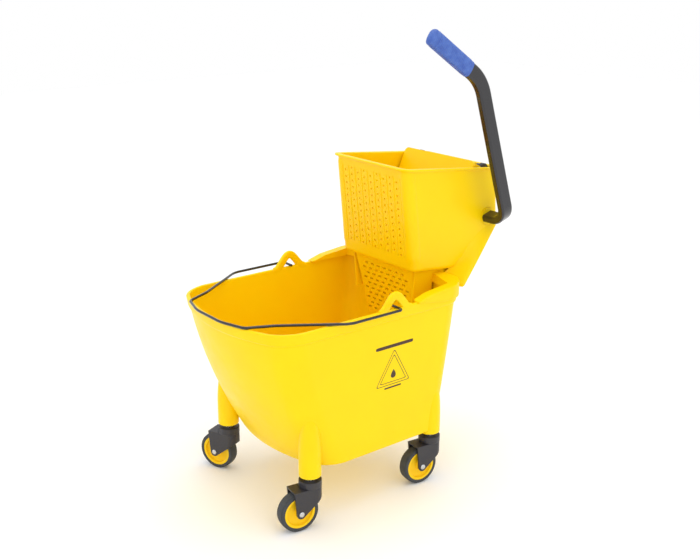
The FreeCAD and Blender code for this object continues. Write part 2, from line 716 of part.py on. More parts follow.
def make_tyre(name, where):
    """A ring of rubber with rounded shoulders."""
    body = new_body(name, **where)
    side = new_sketch(body, "XY_Plane")
    add_outline(side, [
        ("tyre_inner", "-tyre_wide / 2"),
        ("wheel_radius - tyre_side", "-tyre_wide / 2", "tyre_round"),
        ("wheel_radius", "-tyre_wide / 2 + tyre_shoulder"),
        ("wheel_radius", "tyre_wide / 2 - tyre_shoulder", "tyre_round"),
        ("wheel_radius - tyre_side", "tyre_wide / 2"),
        ("tyre_inner", "tyre_wide / 2"),
    ])
    revolve(body, side)


def make_caster(where, side, end):
    """One swivel caster: what stays in the leg, what swivels, and the wheel."""
    heading = f"swivel_{where}"
    spot = {"x": f"{side}leg_x", "y": f"{end}leg_y", "turn": heading}
    wheel = wheel_place(spot, heading)
    make_socket(f"caster_socket_{where}", spot)
    make_stem(f"caster_stem_{where}", spot)
    make_ring(
        f"swivel_collar_{where}", "stem_radius + axle_gap", "collar_radius",
        "collar_high - collar_low", **spot, z="collar_low")
    make_fork(f"caster_fork_{where}", spot)
    make_axle(f"wheel_axle_{where}", wheel)
    make_hub(f"wheel_hub_{where}", wheel)
    make_tyre(f"tyre_{where}", wheel)


# ---------------------------------------------------------------- wringer

def hopper_section(body, height, level, inset="0"):
    sketch = new_sketch(body, "XY_Plane", height)
    add_rounded(
        sketch, f"hopper_{level}_half - {inset}", f"hopper_{level}_front + {inset}",
        f"hopper_{level}_back - {inset}", f"hopper_corner - {inset}")
    return sketch


def make_wringer_body():
    """The hopper, its flared back, and the shelf and skirt that sit on the bucket's rim."""
    body = new_body("wringer_body")
    levels = [("hopper_low", "low"), ("hopper_knee", "knee"), ("hopper_high", "high")]
    loft(body, "Additive", [hopper_section(body, *level) for level in levels])

    wing_low = new_sketch(body, "XY_Plane", "shelf_low")
    add_rounded(wing_low, "wing_half", "wing_front", "wing_back", "4")
    wing_high = new_sketch(body, "XY_Plane", "hopper_knee")
    add_rounded(wing_high, "hopper_knee_half", "wing_top_front", "hopper_knee_back", "8")
    loft(body, "Additive", [wing_low, wing_high])

    shelf = new_sketch(body, "YZ_Plane")
    add_outline(shelf, [
        ("shelf_front", "shelf_low"),
        ("wing_back", "shelf_low"),
        ("wing_back", "shelf_back_high"),
        ("shelf_front", "shelf_front_high"),
    ])
    pad(body, shelf, "(rim_half + band_proud + skirt_gap + skirt_wall) * 2", midplane=True)

    spread = "rim_half + band_proud + skirt_gap"
    skirt = new_sketch(body, "XY_Plane", "skirt_low")
    add_rounded(
        skirt, f"{spread} + skirt_wall", "shelf_front - 40",
        "rim_back + band_proud + skirt_gap + skirt_wall", "skirt_corner")
    pad(body, skirt, "shelf_front_high - skirt_low")
    relief = new_sketch(body, "XY_Plane", "skirt_low - cut_over")
    add_rounded(
        relief, spread, "shelf_front - 60", "rim_back + band_proud + skirt_gap",
        "skirt_corner - skirt_wall")
    pocket(body, relief, "shelf_low - skirt_low + cut_over", backward=True)
    trim = new_sketch(body, "XY_Plane", "skirt_low - cut_over")
    add_outline(trim, [
        ("-rim_half * 1.2", "shelf_front - 50"),
        ("rim_half * 1.2", "shelf_front - 50"),
        ("rim_half * 1.2", "shelf_front"),
        ("arm_half", "shelf_front"),
        ("arm_half", "arm_back"),
        ("strainer_high_half + 4", "well_back"),
        ("-strainer_high_half - 4", "well_back"),
        ("-arm_half", "arm_back"),
        ("-arm_half", "shelf_front"),
        ("-rim_half * 1.2", "shelf_front"),
    ])
    pocket(body, trim, "hopper_low - skirt_low + 0.5", backward=True)
    levels[0] = ("hopper_low + hopper_wall", "low")
    inner = [hopper_section(body, *level, inset="hopper_wall") for level in levels]
    loft(body, "Subtractive", inner)

    over = new_sketch(body, "YZ_Plane")
    add_outline(over, [
        ("shelf_front", "rim_front_high + 2"),
        ("hopper_knee_back + 9", "rim_back_high"),
        ("hopper_knee_back + 9", "hopper_high + 9"),
        ("shelf_front", "hopper_high + 9"),
    ])
    pocket(body, over, "hopper_high_half * 4", midplane=True)

    bosses = new_sketch(body, "YZ_Plane", "boss_inner")
    add_circle(bosses, "shaft_y", "shaft_z", "boss_radius")
    near_boss = pad(body, bosses, "boss_outer - boss_inner")
    mirror(body, [near_boss])

    drain = new_sketch(body, "XY_Plane", "hopper_low - cut_over")
    add_rounded(drain, "well_half", "well_front", "well_back - 8", "6")
    pocket(body, drain, "hopper_wall + cut_over * 2", backward=True)

    under = new_sketch(body, "YZ_Plane")
    add_outline(under, [
        ("well_back + 6", "shelf_low - cut_over"),
        ("wing_back - 9", "shelf_low - cut_over"),
        ("hopper_low_back - 12", "hopper_low - 2"),
        ("well_back + 6", "hopper_low - 2"),
    ])
    pocket(body, under, "(hopper_low_half - 8) * 2", midplane=True)

    cheek = new_sketch(body, "XY_Plane", "shelf_low")
    add_outline(cheek, [
        ("cheek_half - cheek_thick", "cheek_front"),
        ("cheek_half", "cheek_front"),
        ("cheek_half", "cheek_back"),
        ("cheek_half - cheek_thick", "cheek_back"),
    ])
    mirror(body, [pad(body, cheek, "hopper_low - shelf_low + hopper_wall / 2")])

    near_bore = new_sketch(body, "YZ_Plane", "boss_inner - 5")
    add_circle(near_bore, "shaft_y", "shaft_z", "journal_radius + axle_gap")
    pocket(body, near_bore, "boss_outer - boss_inner + 40", backward=True)
    far_bore = new_sketch(body, "YZ_Plane", "-(boss_inner - 5)")
    add_circle(far_bore, "shaft_y", "shaft_z", "far_bush_radius + 0.05")
    pocket(body, far_bore, "boss_outer - boss_inner + 40")
    rod_bore = new_sketch(body, "YZ_Plane")
    add_circle(rod_bore, "hinge_y", "hinge_z", "hinge_rod + 0.02")
    pocket(body, rod_bore, "rod_half * 2", midplane=True)


def strainer_section(body, height, level, inset="0"):
    sketch = new_sketch(body, "XY_Plane", height)
    add_rounded(
        sketch, f"strainer_{level}_half - {inset}", f"strainer_{level}_front + {inset}",
        f"strainer_{level}_back - {inset}", f"6 - {inset}")
    return sketch


def make_strainer():
    """A wedge-shaped basket under the hopper, with rows of drain slots in its front."""
    body = new_body("drain_strainer")
    levels = [("strainer_low", "low"), ("strainer_high", "high")]
    loft(body, "Additive", [strainer_section(body, *level) for level in levels])
    levels[0] = ("strainer_low + strainer_wall", "low")
    inner = [strainer_section(body, *level, inset="strainer_wall") for level in levels]
    loft(body, "Subtractive", inner)
    columns, rows = 8, 10
    for shift in (0, 1):
        slot = new_sketch(body, "XZ_Plane")
        left = f"-(slot_step_x * {columns - 1 - shift} / 2)"
        low = f"strainer_low + 14 + slot_step_z * {shift}"
        reach = "(slot_long - slot_high) / 2"
        add_link(
            slot, (f"{left} - {reach}", low), (f"{left} + {reach}", low),
            "slot_high / 2", "slot_high / 2")
        slot.setExpression("AttachmentOffset.Base.z", formula("5 - strainer_high_front"))
        cut = pocket(body, slot, "strainer_low_front - strainer_high_front + strainer_wall + 10")
        grid = body.newObject("PartDesign::MultiTransform", "Grid")
        across = body.newObject("PartDesign::LinearPattern", "Across")
        across.Direction = (slot, ["H_Axis"])
        across.setExpression("Length", formula(f"slot_step_x * {columns - 1 - shift}"))
        across.Occurrences = columns - shift
        upward = body.newObject("PartDesign::LinearPattern", "Upward")
        upward.Direction = (slot, ["V_Axis"])
        upward.setExpression("Length", formula(f"slot_step_z * 2 * {rows // 2 - 1}"))
        upward.Occurrences = rows // 2
        grid.Originals = [cut]
        grid.Transformations = [across, upward]
        body.Tip = grid
        doc.recompute()


# ---------------------------------------------------------------- press plate and its drive

def roller_spot(turn):
    """Where the rollers' axis is in the upright press plate's own frame, after the lever
    has turned by an angle in radians: how far behind the hinge, and how far above it."""
    long = number("crank_long")
    y = number("shaft_y - hinge_y") - long * math.sin(turn)
    z = number("shaft_z - hinge_z") + long * math.cos(turn)
    lean = math.radians(number("plate_lean")) - number("press_ratio") * turn
    return Vector(0, y * math.cos(lean) - z * math.sin(lean), y * math.sin(lean) + z * math.cos(lean))


def cam_edge():
    """The edge of a cam rib: the rollers' path, moved towards the plate by a roller's
    radius and its gap, so that an even turn of the lever gives an even turn of the plate."""
    reach = number("roller_radius + roller_gap")
    travel = math.radians(number("press_travel"))
    steps = 12
    points = []
    for step in range(-1, steps + 2):
        turn = travel * step / steps
        path = roller_spot(turn + 0.001) - roller_spot(turn - 0.001)
        outward = Vector(0, path.z, -path.y).normalize()
        if outward.y > 0:
            outward = outward * -1
        points.append(roller_spot(turn) + outward * reach)
    return points


def make_press_plate():
    """The plate that squeezes the mop: a barrel on the hinge rod, a tapering plate, and
    two cam ribs on its back that the rollers push. Built upright, about its hinge."""
    thick = number("plate_thick")
    low, high = number("plate_low_half"), number("plate_high_half")
    long = number("plate_long")
    round_ = 9.0
    outline = [
        Vector(-low, 0, 0), Vector(low, 0, 0), Vector(high, 0, long), Vector(-high, 0, long)]
    slab = Part.Face(Part.makePolygon(outline + outline[:1])).extrude(Y_AXIS * thick)
    tops = [edge for edge in slab.Edges if abs(edge.CenterOfMass.z - long) < 1
            and abs(edge.CenterOfMass.x) > high - 1]
    slab = slab.makeFillet(round_, tops)
    slab.translate(Vector(0, -thick / 2, 0))
    barrel_radius = number("knuckle_radius")
    barrel = Part.makeCylinder(barrel_radius, low * 2, Vector(-low, 0, 0), X_AXIS)
    plate = slab.fuse(barrel)
    points = cam_edge()
    curve = Part.BSplineCurve()
    curve.interpolate(points)
    first, last = points[0], points[-1]
    foot = Vector(0, 0, last.z - 30)
    head = Vector(0, 0, min(first.z, long - 1))
    cam = Part.Wire([
        Part.makeLine(head, first), curve.toShape(), Part.makeLine(last, foot),
        Part.makeLine(foot, head)])
    wide = number("roller_wide")
    start = number("crank_inner + crank_thick + 1")
    for side in (start, -start - wide):
        rib = Part.Face(cam).extrude(X_AXIS * wide)
        rib.translate(Vector(side, 0, 0))
        plate = plate.fuse(rib)
    bore = number("hinge_rod + axle_gap")
    plate = plate.cut(Part.makeCylinder(bore, low * 4, Vector(-low * 2, 0, 0), X_AXIS))
    new_shape(
        "press_plate", plate.removeSplitter(), y="hinge_y", z="hinge_z", axis=X_AXIS,
        turn="-plate_lean")


def make_rod(name, radius, start, length, y, z):
    """A round rod along X."""
    body = new_body(name, y=y, z=z)
    sketch = new_sketch(body, "YZ_Plane", start)
    add_circle(sketch, "0", "0", radius)
    pad(body, sketch, length)
    return body


def make_hinge_rod():
    """The rod the press plate turns on, held in a blind hole in each side wall."""
    make_rod(
        "plate_hinge_rod", "hinge_rod", "-(rod_half - 0.2)", "(rod_half - 0.2) * 2",
        "hinge_y", "hinge_z")


def make_shaft():
    """The cross shaft: its far end turns in a bush, its near end is in the near crank."""
    make_rod(
        "cross_shaft", "shaft_radius", "-(boss_outer + 3)",
        "boss_outer + 3 + crank_inner + crank_thick", "shaft_y", "shaft_z")
    body = new_body("far_shaft_bush", y="shaft_y", z="shaft_z")
    sketch = new_sketch(body, "YZ_Plane", "-boss_outer")
    add_circle(sketch, "0", "0", "far_bush_radius")
    add_circle(sketch, "0", "0", "shaft_radius + axle_gap")
    pad(body, sketch, "boss_outer - boss_inner")
    body = new_body("shaft_retaining_ring", y="shaft_y", z="shaft_z")
    sketch = new_sketch(body, "YZ_Plane", "-(boss_outer + 2.1)")
    add_circle(sketch, "0", "0", "shaft_radius + 4")
    add_circle(sketch, "0", "0", "shaft_radius + 0.02")
    pad(body, sketch, "1.6")


def crank_outline(body, start):
    """A crank's side: a round hub on the shaft tapering to a round tip above it."""
    sketch = new_sketch(body, "YZ_Plane", start)
    add_link(sketch, ("0", "0"), ("0", "crank_long"), "crank_hub", "crank_tip")
    return sketch


def make_crank(name, start, side):
    """A crank arm with its roller pin. The near one also has a plug for the lever's tube."""
    body = new_body(name, y="shaft_y", z="shaft_z")
    sketch = crank_outline(body, start)
    pad(body, sketch, "crank_thick")
    pin_start = f"{start} + crank_thick" if side > 0 else f"{start} - roller_wide - 2"
    pin = new_sketch(body, "YZ_Plane", pin_start)
    add_circle(pin, "0", "crank_long", "roller_pin")
    pad(body, pin, "roller_wide + 2")
    bore = new_sketch(body, "YZ_Plane", start)
    add_circle(bore, "0", "0", "shaft_radius + 0.02")
    pocket(body, bore, "crank_thick", backward=True)
    return body


def make_roller(name, start):
    """A roller that turns on a crank's pin."""
    body = new_body(name, y="shaft_y", z="shaft_z + crank_long")
    sketch = new_sketch(body, "YZ_Plane", start)
    add_circle(sketch, "0", "0", "roller_radius")
    add_circle(sketch, "0", "0", "roller_pin + axle_gap")
    pad(body, sketch, "roller_wide")


def make_springs():
    """Two close-wound springs round the cross shaft that bring the lever back. Each is a
    sleeve whose outside has one round ridge for every turn."""
    turns = int(number("spring_turns"))
    long = f"spring_pitch * {turns}"
    for name, start in (
            ("return_spring_near", "spring_start"),
            ("return_spring_far", f"-(spring_start + {long})")):
        body = new_body(name, x=start, y="shaft_y", z="shaft_z")
        side = new_sketch(body, "XY_Plane")
        ridges = [
            (f"{long} - spring_pitch * {turn}", "spring_radius", "spring_pitch * 0.51")
            for turn in range(turns)]
        low = "spring_radius - spring_wire"
        add_outline(side, [("0", low), (long, low)] + ridges + [("0", "spring_radius")])
        revolve(body, side, "H_Axis")


# ---------------------------------------------------------------- lever

def lever_directions():
    """Unit vectors along the lever's lower run and across it, in the lever's plane."""
    rise = Vector(0, number("lever_bend_y - shaft_y"), number("lever_bend_z - shaft_z")).normalize()
    return rise, X_AXIS.cross(rise)


def make_handle_tube():
    """The lever: one flat-sided tube from the wall, round an elbow, up and over forward."""
    rise, across = lever_directions()
    plane, shaft = number("lever_x"), (number("shaft_y"), number("shaft_z"))
    points = [
        Vector(number("lever_start"), *shaft), Vector(plane, *shaft),
        Vector(plane, number("lever_bend_y"), number("lever_bend_z")),
        Vector(plane, number("lever_end_y"), number("lever_end_z"))]
    path = rounded_wire(points, [number("lever_elbow"), number("lever_bend")])
    sides = number("tube_wide"), number("tube_thin"), number("tube_corner")
    outer = swept(path, rounded_outline(points[0], across, rise, *sides))
    wall = number("tube_wall")
    sides = sides[0] - 2 * wall, sides[1] - 2 * wall, sides[2] - wall
    inner = swept(path, rounded_outline(points[0], across, rise, *sides))
    new_shape("handle_tube", outer.cut(inner))


def make_tube_plug():
    """The slot-shaped plug that joins the lever's tube to the near crank, and the round
    journal ring that carries the tube in the near wall."""
    rise, across = lever_directions()
    wide = number("tube_wide - tube_wall * 2 - 0.3")
    thin = number("tube_thin - tube_wall * 2 - 0.3")
    start = number("crank_inner + crank_thick + push_gap")
    base = Vector(start, 0, 0)
    corner = number("tube_corner - tube_wall")
    plug = Part.Face(rounded_outline(base, across, rise, wide, thin, corner)).extrude(X_AXIS * 38)
    flange = Part.makeCylinder(number("crank_hub"), number("lever_start - 0.2") - start, base, X_AXIS)
    new_shape("lever_plug", plug.fuse(flange).removeSplitter(), y="shaft_y", z="shaft_z")

    inner = number("boss_inner + 3")
    base = Vector(inner, 0, 0)
    ring = Part.makeCylinder(number("journal_radius"), number("boss_outer - 0.4") - inner, base, X_AXIS)
    sides = number("tube_wide + 0.3"), number("tube_thin + 0.3"), number("tube_corner + 0.15")
    bore = Part.Face(rounded_outline(base, across, rise, *sides)).extrude(X_AXIS * 40)
    new_shape("journal_ring", ring.cut(bore), y="shaft_y", z="shaft_z")


def make_grip():
    """The grip over the tube's end, with a slot-shaped bore and a rounded closed end."""
    along = Vector(0, number("lever_end_y - lever_bend_y"), number("lever_end_z - lever_bend_z"))
    tilt = math.degrees(math.atan2(-along.y, along.z))
    body = doc.addObject("PartDesign::Body", "handle_grip")
    body.Label = "handle_grip"
    place(body, "lever_x", "lever_end_y", "lever_end_z", axis=X_AXIS, turn=str(tilt))
    outside = new_sketch(body, "XY_Plane", "grip_beyond - grip_long")
    add_rounded(outside, "grip_thin / 2", "-grip_wide / 2", "grip_wide / 2", "grip_corner")
    pad(body, outside, "grip_long")
    inside = new_sketch(body, "XY_Plane", "grip_beyond - grip_long")
    add_rounded(
        inside, "(tube_thin + grip_slip) / 2", "-(tube_wide + grip_slip) / 2",
        "(tube_wide + grip_slip) / 2", "tube_corner + grip_slip / 2")
    pocket(body, inside, "grip_long - grip_end_wall", backward=True)
    bored = body.Tip
    ends = [f"Edge{index + 1}" for index, edge in enumerate(bored.Shape.Edges)
            if edge.BoundBox.ZLength < 0.01 and edge.CenterOfMass.z > 4]
    fillet = body.newObject("PartDesign::Fillet", "Fillet")
    fillet.Base = (bored, ends)
    fillet.setExpression("Radius", formula("grip_end_round"))
    doc.recompute()


make_bucket_tub()
make_bail_wire()
for where, side, end in (
        ("near_front", "", "-"), ("near_back", "", ""),
        ("far_front", "-", "-"), ("far_back", "-", "")):
    make_caster(where, side, end)
make_wringer_body()
make_strainer()
make_press_plate()
make_hinge_rod()
make_shaft()
make_crank("crank_near", "crank_inner", 1)
make_crank("crank_far", "-(crank_inner + crank_thick)", -1)
make_roller("roller_near", "crank_inner + crank_thick + 1")
make_roller("roller_far", "-(crank_inner + crank_thick + 1 + roller_wide)")
make_springs()
make_handle_tube()
make_tube_plug()
make_grip()

# ---------------------------------------------------------------- checks and files

doc.recompute()
for item in doc.Objects:
    if "Invalid" in item.State or "Error" in item.State:
        raise RuntimeError(f"{item.Label} did not build: {item.State}")
for piece in pieces:
    if piece.Shape.isNull() or not piece.Shape.isValid():
        raise RuntimeError(f"{piece.Label} has no valid shape")

os.makedirs("parts", exist_ok=True)
for piece in pieces:
    piece.Shape.exportStep(os.path.join("parts", f"{piece.Label}.step"))
    print(f"{piece.Label}: {piece.Shape.Volume:.0f} cubic mm")
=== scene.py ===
# A yellow mopping bucket on casters with its side-press wringer: finishes, fine surfaces,
# camera and light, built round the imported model. Lengths below are in millimetres in the
# design's own frame, midway between the casters, and at() turns them into metres.
import json
import math

import bmesh
import bpy
import numpy as np
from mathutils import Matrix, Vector


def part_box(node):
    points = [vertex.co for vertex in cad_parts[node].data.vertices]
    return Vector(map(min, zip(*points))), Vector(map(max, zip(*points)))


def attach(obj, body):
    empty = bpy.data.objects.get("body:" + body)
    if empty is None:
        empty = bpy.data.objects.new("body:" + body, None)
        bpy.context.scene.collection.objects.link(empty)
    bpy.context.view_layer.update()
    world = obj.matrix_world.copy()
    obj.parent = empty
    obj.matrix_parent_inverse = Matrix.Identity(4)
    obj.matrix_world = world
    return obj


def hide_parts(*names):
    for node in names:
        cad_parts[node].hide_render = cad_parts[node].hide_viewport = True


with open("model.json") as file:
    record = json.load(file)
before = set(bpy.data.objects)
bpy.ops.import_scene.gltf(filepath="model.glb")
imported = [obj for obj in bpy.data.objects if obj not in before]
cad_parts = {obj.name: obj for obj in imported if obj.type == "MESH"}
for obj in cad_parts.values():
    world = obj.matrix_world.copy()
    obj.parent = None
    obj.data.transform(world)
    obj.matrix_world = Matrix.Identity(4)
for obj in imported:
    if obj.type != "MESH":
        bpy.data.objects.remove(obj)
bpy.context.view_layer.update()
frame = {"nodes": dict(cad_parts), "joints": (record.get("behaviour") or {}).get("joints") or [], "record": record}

MM = 0.001
SHAFT_Y, SHAFT_Z = 313.0, 501.0
CASTERS = ("near_front", "near_back", "far_front", "far_back")
JOINTS = {joint["name"]: joint for joint in frame["joints"]}

tub_low, tub_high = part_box("bucket_tub")
ORIGIN = np.array([
    (tub_low.x + tub_high.x) / 2,
    JOINTS["lever_press"]["pos_m"][1] - SHAFT_Y * MM,
    0.0])


def at(points):
    """Design millimetres to metres in the frame."""
    return np.asarray(points, float) * MM + ORIGIN


# ---------------------------------------------------------------- colours and nodes

def srgb(code):
    """A hex sRGB colour as linear red, green, blue and alpha."""
    channels = [int(code[i:i + 2], 16) / 255 for i in (1, 3, 5)]
    linear = [c / 12.92 if c <= 0.04045 else ((c + 0.055) / 1.055) ** 2.4 for c in channels]
    return (*linear, 1.0)


def add_node(tree, kind, settings=None, **links):
    """Add a node. Settings go to its properties or, by name, to its sockets; links join a
    socket, named with underscores for spaces, to another node's output."""
    node = tree.nodes.new(kind)
    for key, value in (settings or {}).items():
        if key in node.inputs:
            node.inputs[key].default_value = value
        else:
            setattr(node, key, value)
    for key, output in links.items():
        tree.links.new(output, node.inputs[key.replace("_", " ")])
    return node


def new_material(name, colour, roughness, **sockets):
    """A material with one Principled shader, and its tree, shader and coordinates."""
    material = bpy.data.materials.new(name)
    material.use_nodes = True
    tree = material.node_tree
    shader = tree.nodes["Principled BSDF"]
    shader.inputs["Base Color"].default_value = srgb(colour)
    shader.inputs["Roughness"].default_value = roughness
    for key, value in sockets.items():
        shader.inputs[key.replace("_", " ")].default_value = value
    where = add_node(tree, "ShaderNodeTexCoord").outputs["Object"]
    return material, tree, shader, where


def noise(tree, where, size_mm, detail=2.0, rough=0.5):
    """Noise whose features are about size_mm across."""
    settings = {"Scale": 1000.0 / size_mm, "Detail": detail, "Roughness": rough}
    return add_node(tree, "ShaderNodeTexNoise", settings, Vector=where).outputs["Fac"]


def spread(tree, value, low, high, from_low=0.3, from_high=0.7):
    """Map a 0 to 1 pattern onto low to high."""
    settings = {"From Min": from_low, "From Max": from_high, "To Min": low, "To Max": high}
    return add_node(tree, "ShaderNodeMapRange", settings, Value=value).outputs["Result"]


def bump(tree, height, depth_mm, strength=1.0):
    """A normal that treats a pattern as relief depth_mm deep."""
    settings = {"Strength": strength, "Distance": depth_mm * MM}
    return add_node(tree, "ShaderNodeBump", settings, Height=height).outputs["Normal"]


def mix_colours(tree, factor, first, second):
    """A colour between two, where factor is 0 for the first and 1 for the second."""
    colour_a, colour_b, colour_out = 6, 7, 2
    node = add_node(tree, "ShaderNodeMix", {"data_type": "RGBA"})
    node.inputs[colour_a].default_value = srgb(first)
    node.inputs[colour_b].default_value = srgb(second)
    tree.links.new(factor, node.inputs[0])
    return node.outputs[colour_out]


def moulded_polypropylene(name, plain, deep, grain_mm=0.55):
    """Injection-moulded polypropylene in a strong yellow. It has a soft satin gloss, flow
    clouding some centimetres across, and a spark-eroded grain as fine as 0.2 mm on the
    real tool, drawn coarser here so that it shows."""
    material, tree, shader, where = new_material(
        name, plain, 0.36, IOR=1.49, Specular_IOR_Level=0.2, Subsurface_Weight=0.12,
        Subsurface_Scale=0.004, Subsurface_Radius=(1.0, 0.6, 0.05))
    cloud = noise(tree, where, 70.0, 3.0)
    shade = mix_colours(tree, spread(tree, cloud, 0.0, 0.35), plain, deep)
    tree.links.new(shade, shader.inputs["Base Color"])
    scuff = noise(tree, where, 22.0, 5.0, 0.6)
    tree.links.new(spread(tree, scuff, 0.30, 0.42), shader.inputs["Roughness"])
    grain = noise(tree, where, grain_mm, 2.0)
    tree.links.new(bump(tree, grain, 0.02, 0.35), shader.inputs["Normal"])
    return material


def moulded_nylon(name):
    """Black glass-filled nylon: a dull satin, slightly mottled by the fibres."""
    material, tree, shader, where = new_material(name, "#2A282E", 0.42, IOR=1.53)
    mottle = noise(tree, where, 1.4, 3.0)
    shade = mix_colours(tree, spread(tree, mottle, 0.0, 1.0), "#262429", "#343238")
    tree.links.new(shade, shader.inputs["Base Color"])
    tree.links.new(spread(tree, mottle, 0.36, 0.5), shader.inputs["Roughness"])
    tree.links.new(bump(tree, mottle, 0.03, 0.4), shader.inputs["Normal"])
    return material


def powder_coat(name):
    """Black powder coat on steel: glossy, with the slight orange peel of baked powder,
    whose cells are two or three millimetres across."""
    material, tree, shader, where = new_material(name, "#17151A", 0.2, IOR=1.5, Coat_Weight=0.4)
    shader.inputs["Coat Roughness"].default_value = 0.08
    peel = noise(tree, where, 2.4, 1.0)
    tree.links.new(spread(tree, noise(tree, where, 30.0), 0.17, 0.26), shader.inputs["Roughness"])
    tree.links.new(bump(tree, peel, 0.04, 0.5), shader.inputs["Normal"])
    return material


def vinyl_grip(name):
    """Dipped blue vinyl: a soft, even sheen with a faint bloom."""
    material, tree, shader, where = new_material(name, "#4263B4", 0.45, IOR=1.5)
    bloom = noise(tree, where, 9.0, 4.0)
    shade = mix_colours(tree, spread(tree, bloom, 0.0, 1.0), "#3557AA", "#4A6EBC")
    tree.links.new(shade, shader.inputs["Base Color"])
    tree.links.new(bump(tree, noise(tree, where, 0.8), 0.03, 0.4), shader.inputs["Normal"])
    return material


def tread_rubber(name):
    """Grey-black thermoplastic rubber: matt, dusty in patches."""
    material, tree, shader, where = new_material(name, "#3A3D42", 0.68, IOR=1.52)
    dust = noise(tree, where, 12.0, 5.0, 0.65)
    shade = mix_colours(tree, spread(tree, dust, 0.0, 1.0), "#303338", "#43474B")
    tree.links.new(shade, shader.inputs["Base Color"])
    tree.links.new(spread(tree, dust, 0.58, 0.78), shader.inputs["Roughness"])
    tree.links.new(bump(tree, noise(tree, where, 0.9), 0.05, 0.5), shader.inputs["Normal"])
    return material


def zinc_plate(name):
    """Bright zinc plate on drawn steel: metal, with fine cloudy streaks."""
    material, tree, shader, where = new_material(name, "#C9CBCE", 0.28, Metallic=1.0)
    streak = noise(tree, where, 3.0, 4.0)
    shade = mix_colours(tree, spread(tree, streak, 0.0, 1.0), "#BFC2C6", "#D6D7D8")
    tree.links.new(shade, shader.inputs["Base Color"])
    tree.links.new(spread(tree, streak, 0.2, 0.36), shader.inputs["Roughness"])
    return material


FINISH = {
    "tub_yellow": moulded_polypropylene("bucket_polypropylene", "#FFD900", "#FFCE00"),
    "wringer_yellow": moulded_polypropylene("wringer_polypropylene", "#FFD700", "#FFCC00", 0.7),
    "hub_yellow": moulded_polypropylene("hub_polypropylene", "#FFD21A", "#FFC60A", 0.4),
    "black_plastic": moulded_nylon("glass_filled_nylon"),
    "black_steel": powder_coat("black_powder_coat"),
    "grip_blue": vinyl_grip("blue_vinyl"),
    "tyre_grey": tread_rubber("grey_tread_rubber"),
    "zinc_steel": zinc_plate("bright_zinc"),
}


# ---------------------------------------------------------------- mesh makers

def make_piece(name, points, faces, slot, body, *nodes, sharp=35.0, finish=None):
    """A mesh piece from points in design millimetres, doubles merged. It rides on a body,
    takes a slot's finish and stands for any CAD nodes named."""
    mesh = bpy.data.meshes.new(name)
    mesh.from_pydata(at(points).tolist(), [], [list(face) for face in faces])
    work = bmesh.new()
    work.from_mesh(mesh)
    bmesh.ops.remove_doubles(work, verts=work.verts, dist=1e-6)
    bmesh.ops.dissolve_degenerate(work, edges=work.edges, dist=1e-7)
    work.to_mesh(mesh)
    work.free()
    mesh.polygons.foreach_set("use_smooth", [True] * len(mesh.polygons))
    mesh.set_sharp_from_angle(angle=math.radians(sharp))
    mesh.materials.append(finish or FINISH[slot])
    piece = bpy.data.objects.new(name, mesh)
    bpy.context.scene.collection.objects.link(piece)
    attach(piece, body)
    if nodes:
        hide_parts(*nodes)
    return piece


def body_of(node):
    """The body that a CAD node rides on."""
    for body, nodes in frame["record"]["behaviour"]["bodies"].items():
        if node in nodes:
            return body


def slot_of(node):
    """A CAD node's material slot."""
    for part in frame["record"]["subparts"]:
        if part["node"] == node:
            return part["material_slot"]


def soften(node, width_mm=0.6, segments=2):
    """A copy of a CAD node with its flat faces joined and its edges rounded."""
    mesh = frame["nodes"][node].data.copy()
    mesh.name = f"{node}_rounded"
    work = bmesh.new()
    work.from_mesh(mesh)
    bmesh.ops.remove_doubles(work, verts=work.verts, dist=2e-6)
    bmesh.ops.dissolve_limit(
        work, angle_limit=math.radians(0.6), verts=work.verts, edges=work.edges)
    work.to_mesh(mesh)
    work.free()
    mesh.materials.clear()
    mesh.materials.append(FINISH[slot_of(node)])
    piece = bpy.data.objects.new(f"{node}_rounded", mesh)
    bpy.context.scene.collection.objects.link(piece)
    bevel = piece.modifiers.new("edge", "BEVEL")
    bevel.width = width_mm * MM
    bevel.segments = segments
    bevel.limit_method = "ANGLE"
    bevel.angle_limit = math.radians(32)
    mesh.polygons.foreach_set("use_smooth", [True] * len(mesh.polygons))
    mesh.set_sharp_from_angle(angle=math.radians(60))
    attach(piece, body_of(node))
    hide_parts(node)
    return piece


def quads(rows, columns, ring=True, loop=False):
    """Faces of a grid of rows by columns. ring joins the last column to the first, and
    loop the last row to the first."""
    row = np.arange(rows if loop else rows - 1)[:, None]
    column = np.arange(columns if ring else columns - 1)[None, :]
    above, after = (row + 1) % rows, (column + 1) % columns
    corners = (row * columns + column, row * columns + after,
               above * columns + after, above * columns + column)
    return np.stack(np.broadcast_arrays(*corners), axis=-1).reshape(-1, 4)


def closed(rows, columns):
    """Faces of a tube of rows by columns with both its ends closed."""
    first, last = range(columns), range((rows - 1) * columns, rows * columns)
    return quads(rows, columns).tolist() + [list(first)[::-1], list(last)]


def blunt(value, power):
    """A cosine or sine made blunter, which squares up a round section: its size is raised
    to a power below one and its sign kept."""
    return np.sign(value) * np.abs(value) ** power


def bend(across, up, radius, start, stop, count=6):
    """An arc about (across, up) from one angle to another in degrees, as rows of two."""
    turn = np.radians(np.linspace(start, stop, count))
    return np.stack([across + radius * np.cos(turn), up + radius * np.sin(turn)], axis=-1)


def line(start, stop, count=2):
    """Evenly spaced points from start to stop."""
    share = np.linspace(0.0, 1.0, count)[:, None]
    return np.asarray(start, float) * (1 - share) + np.asarray(stop, float) * share


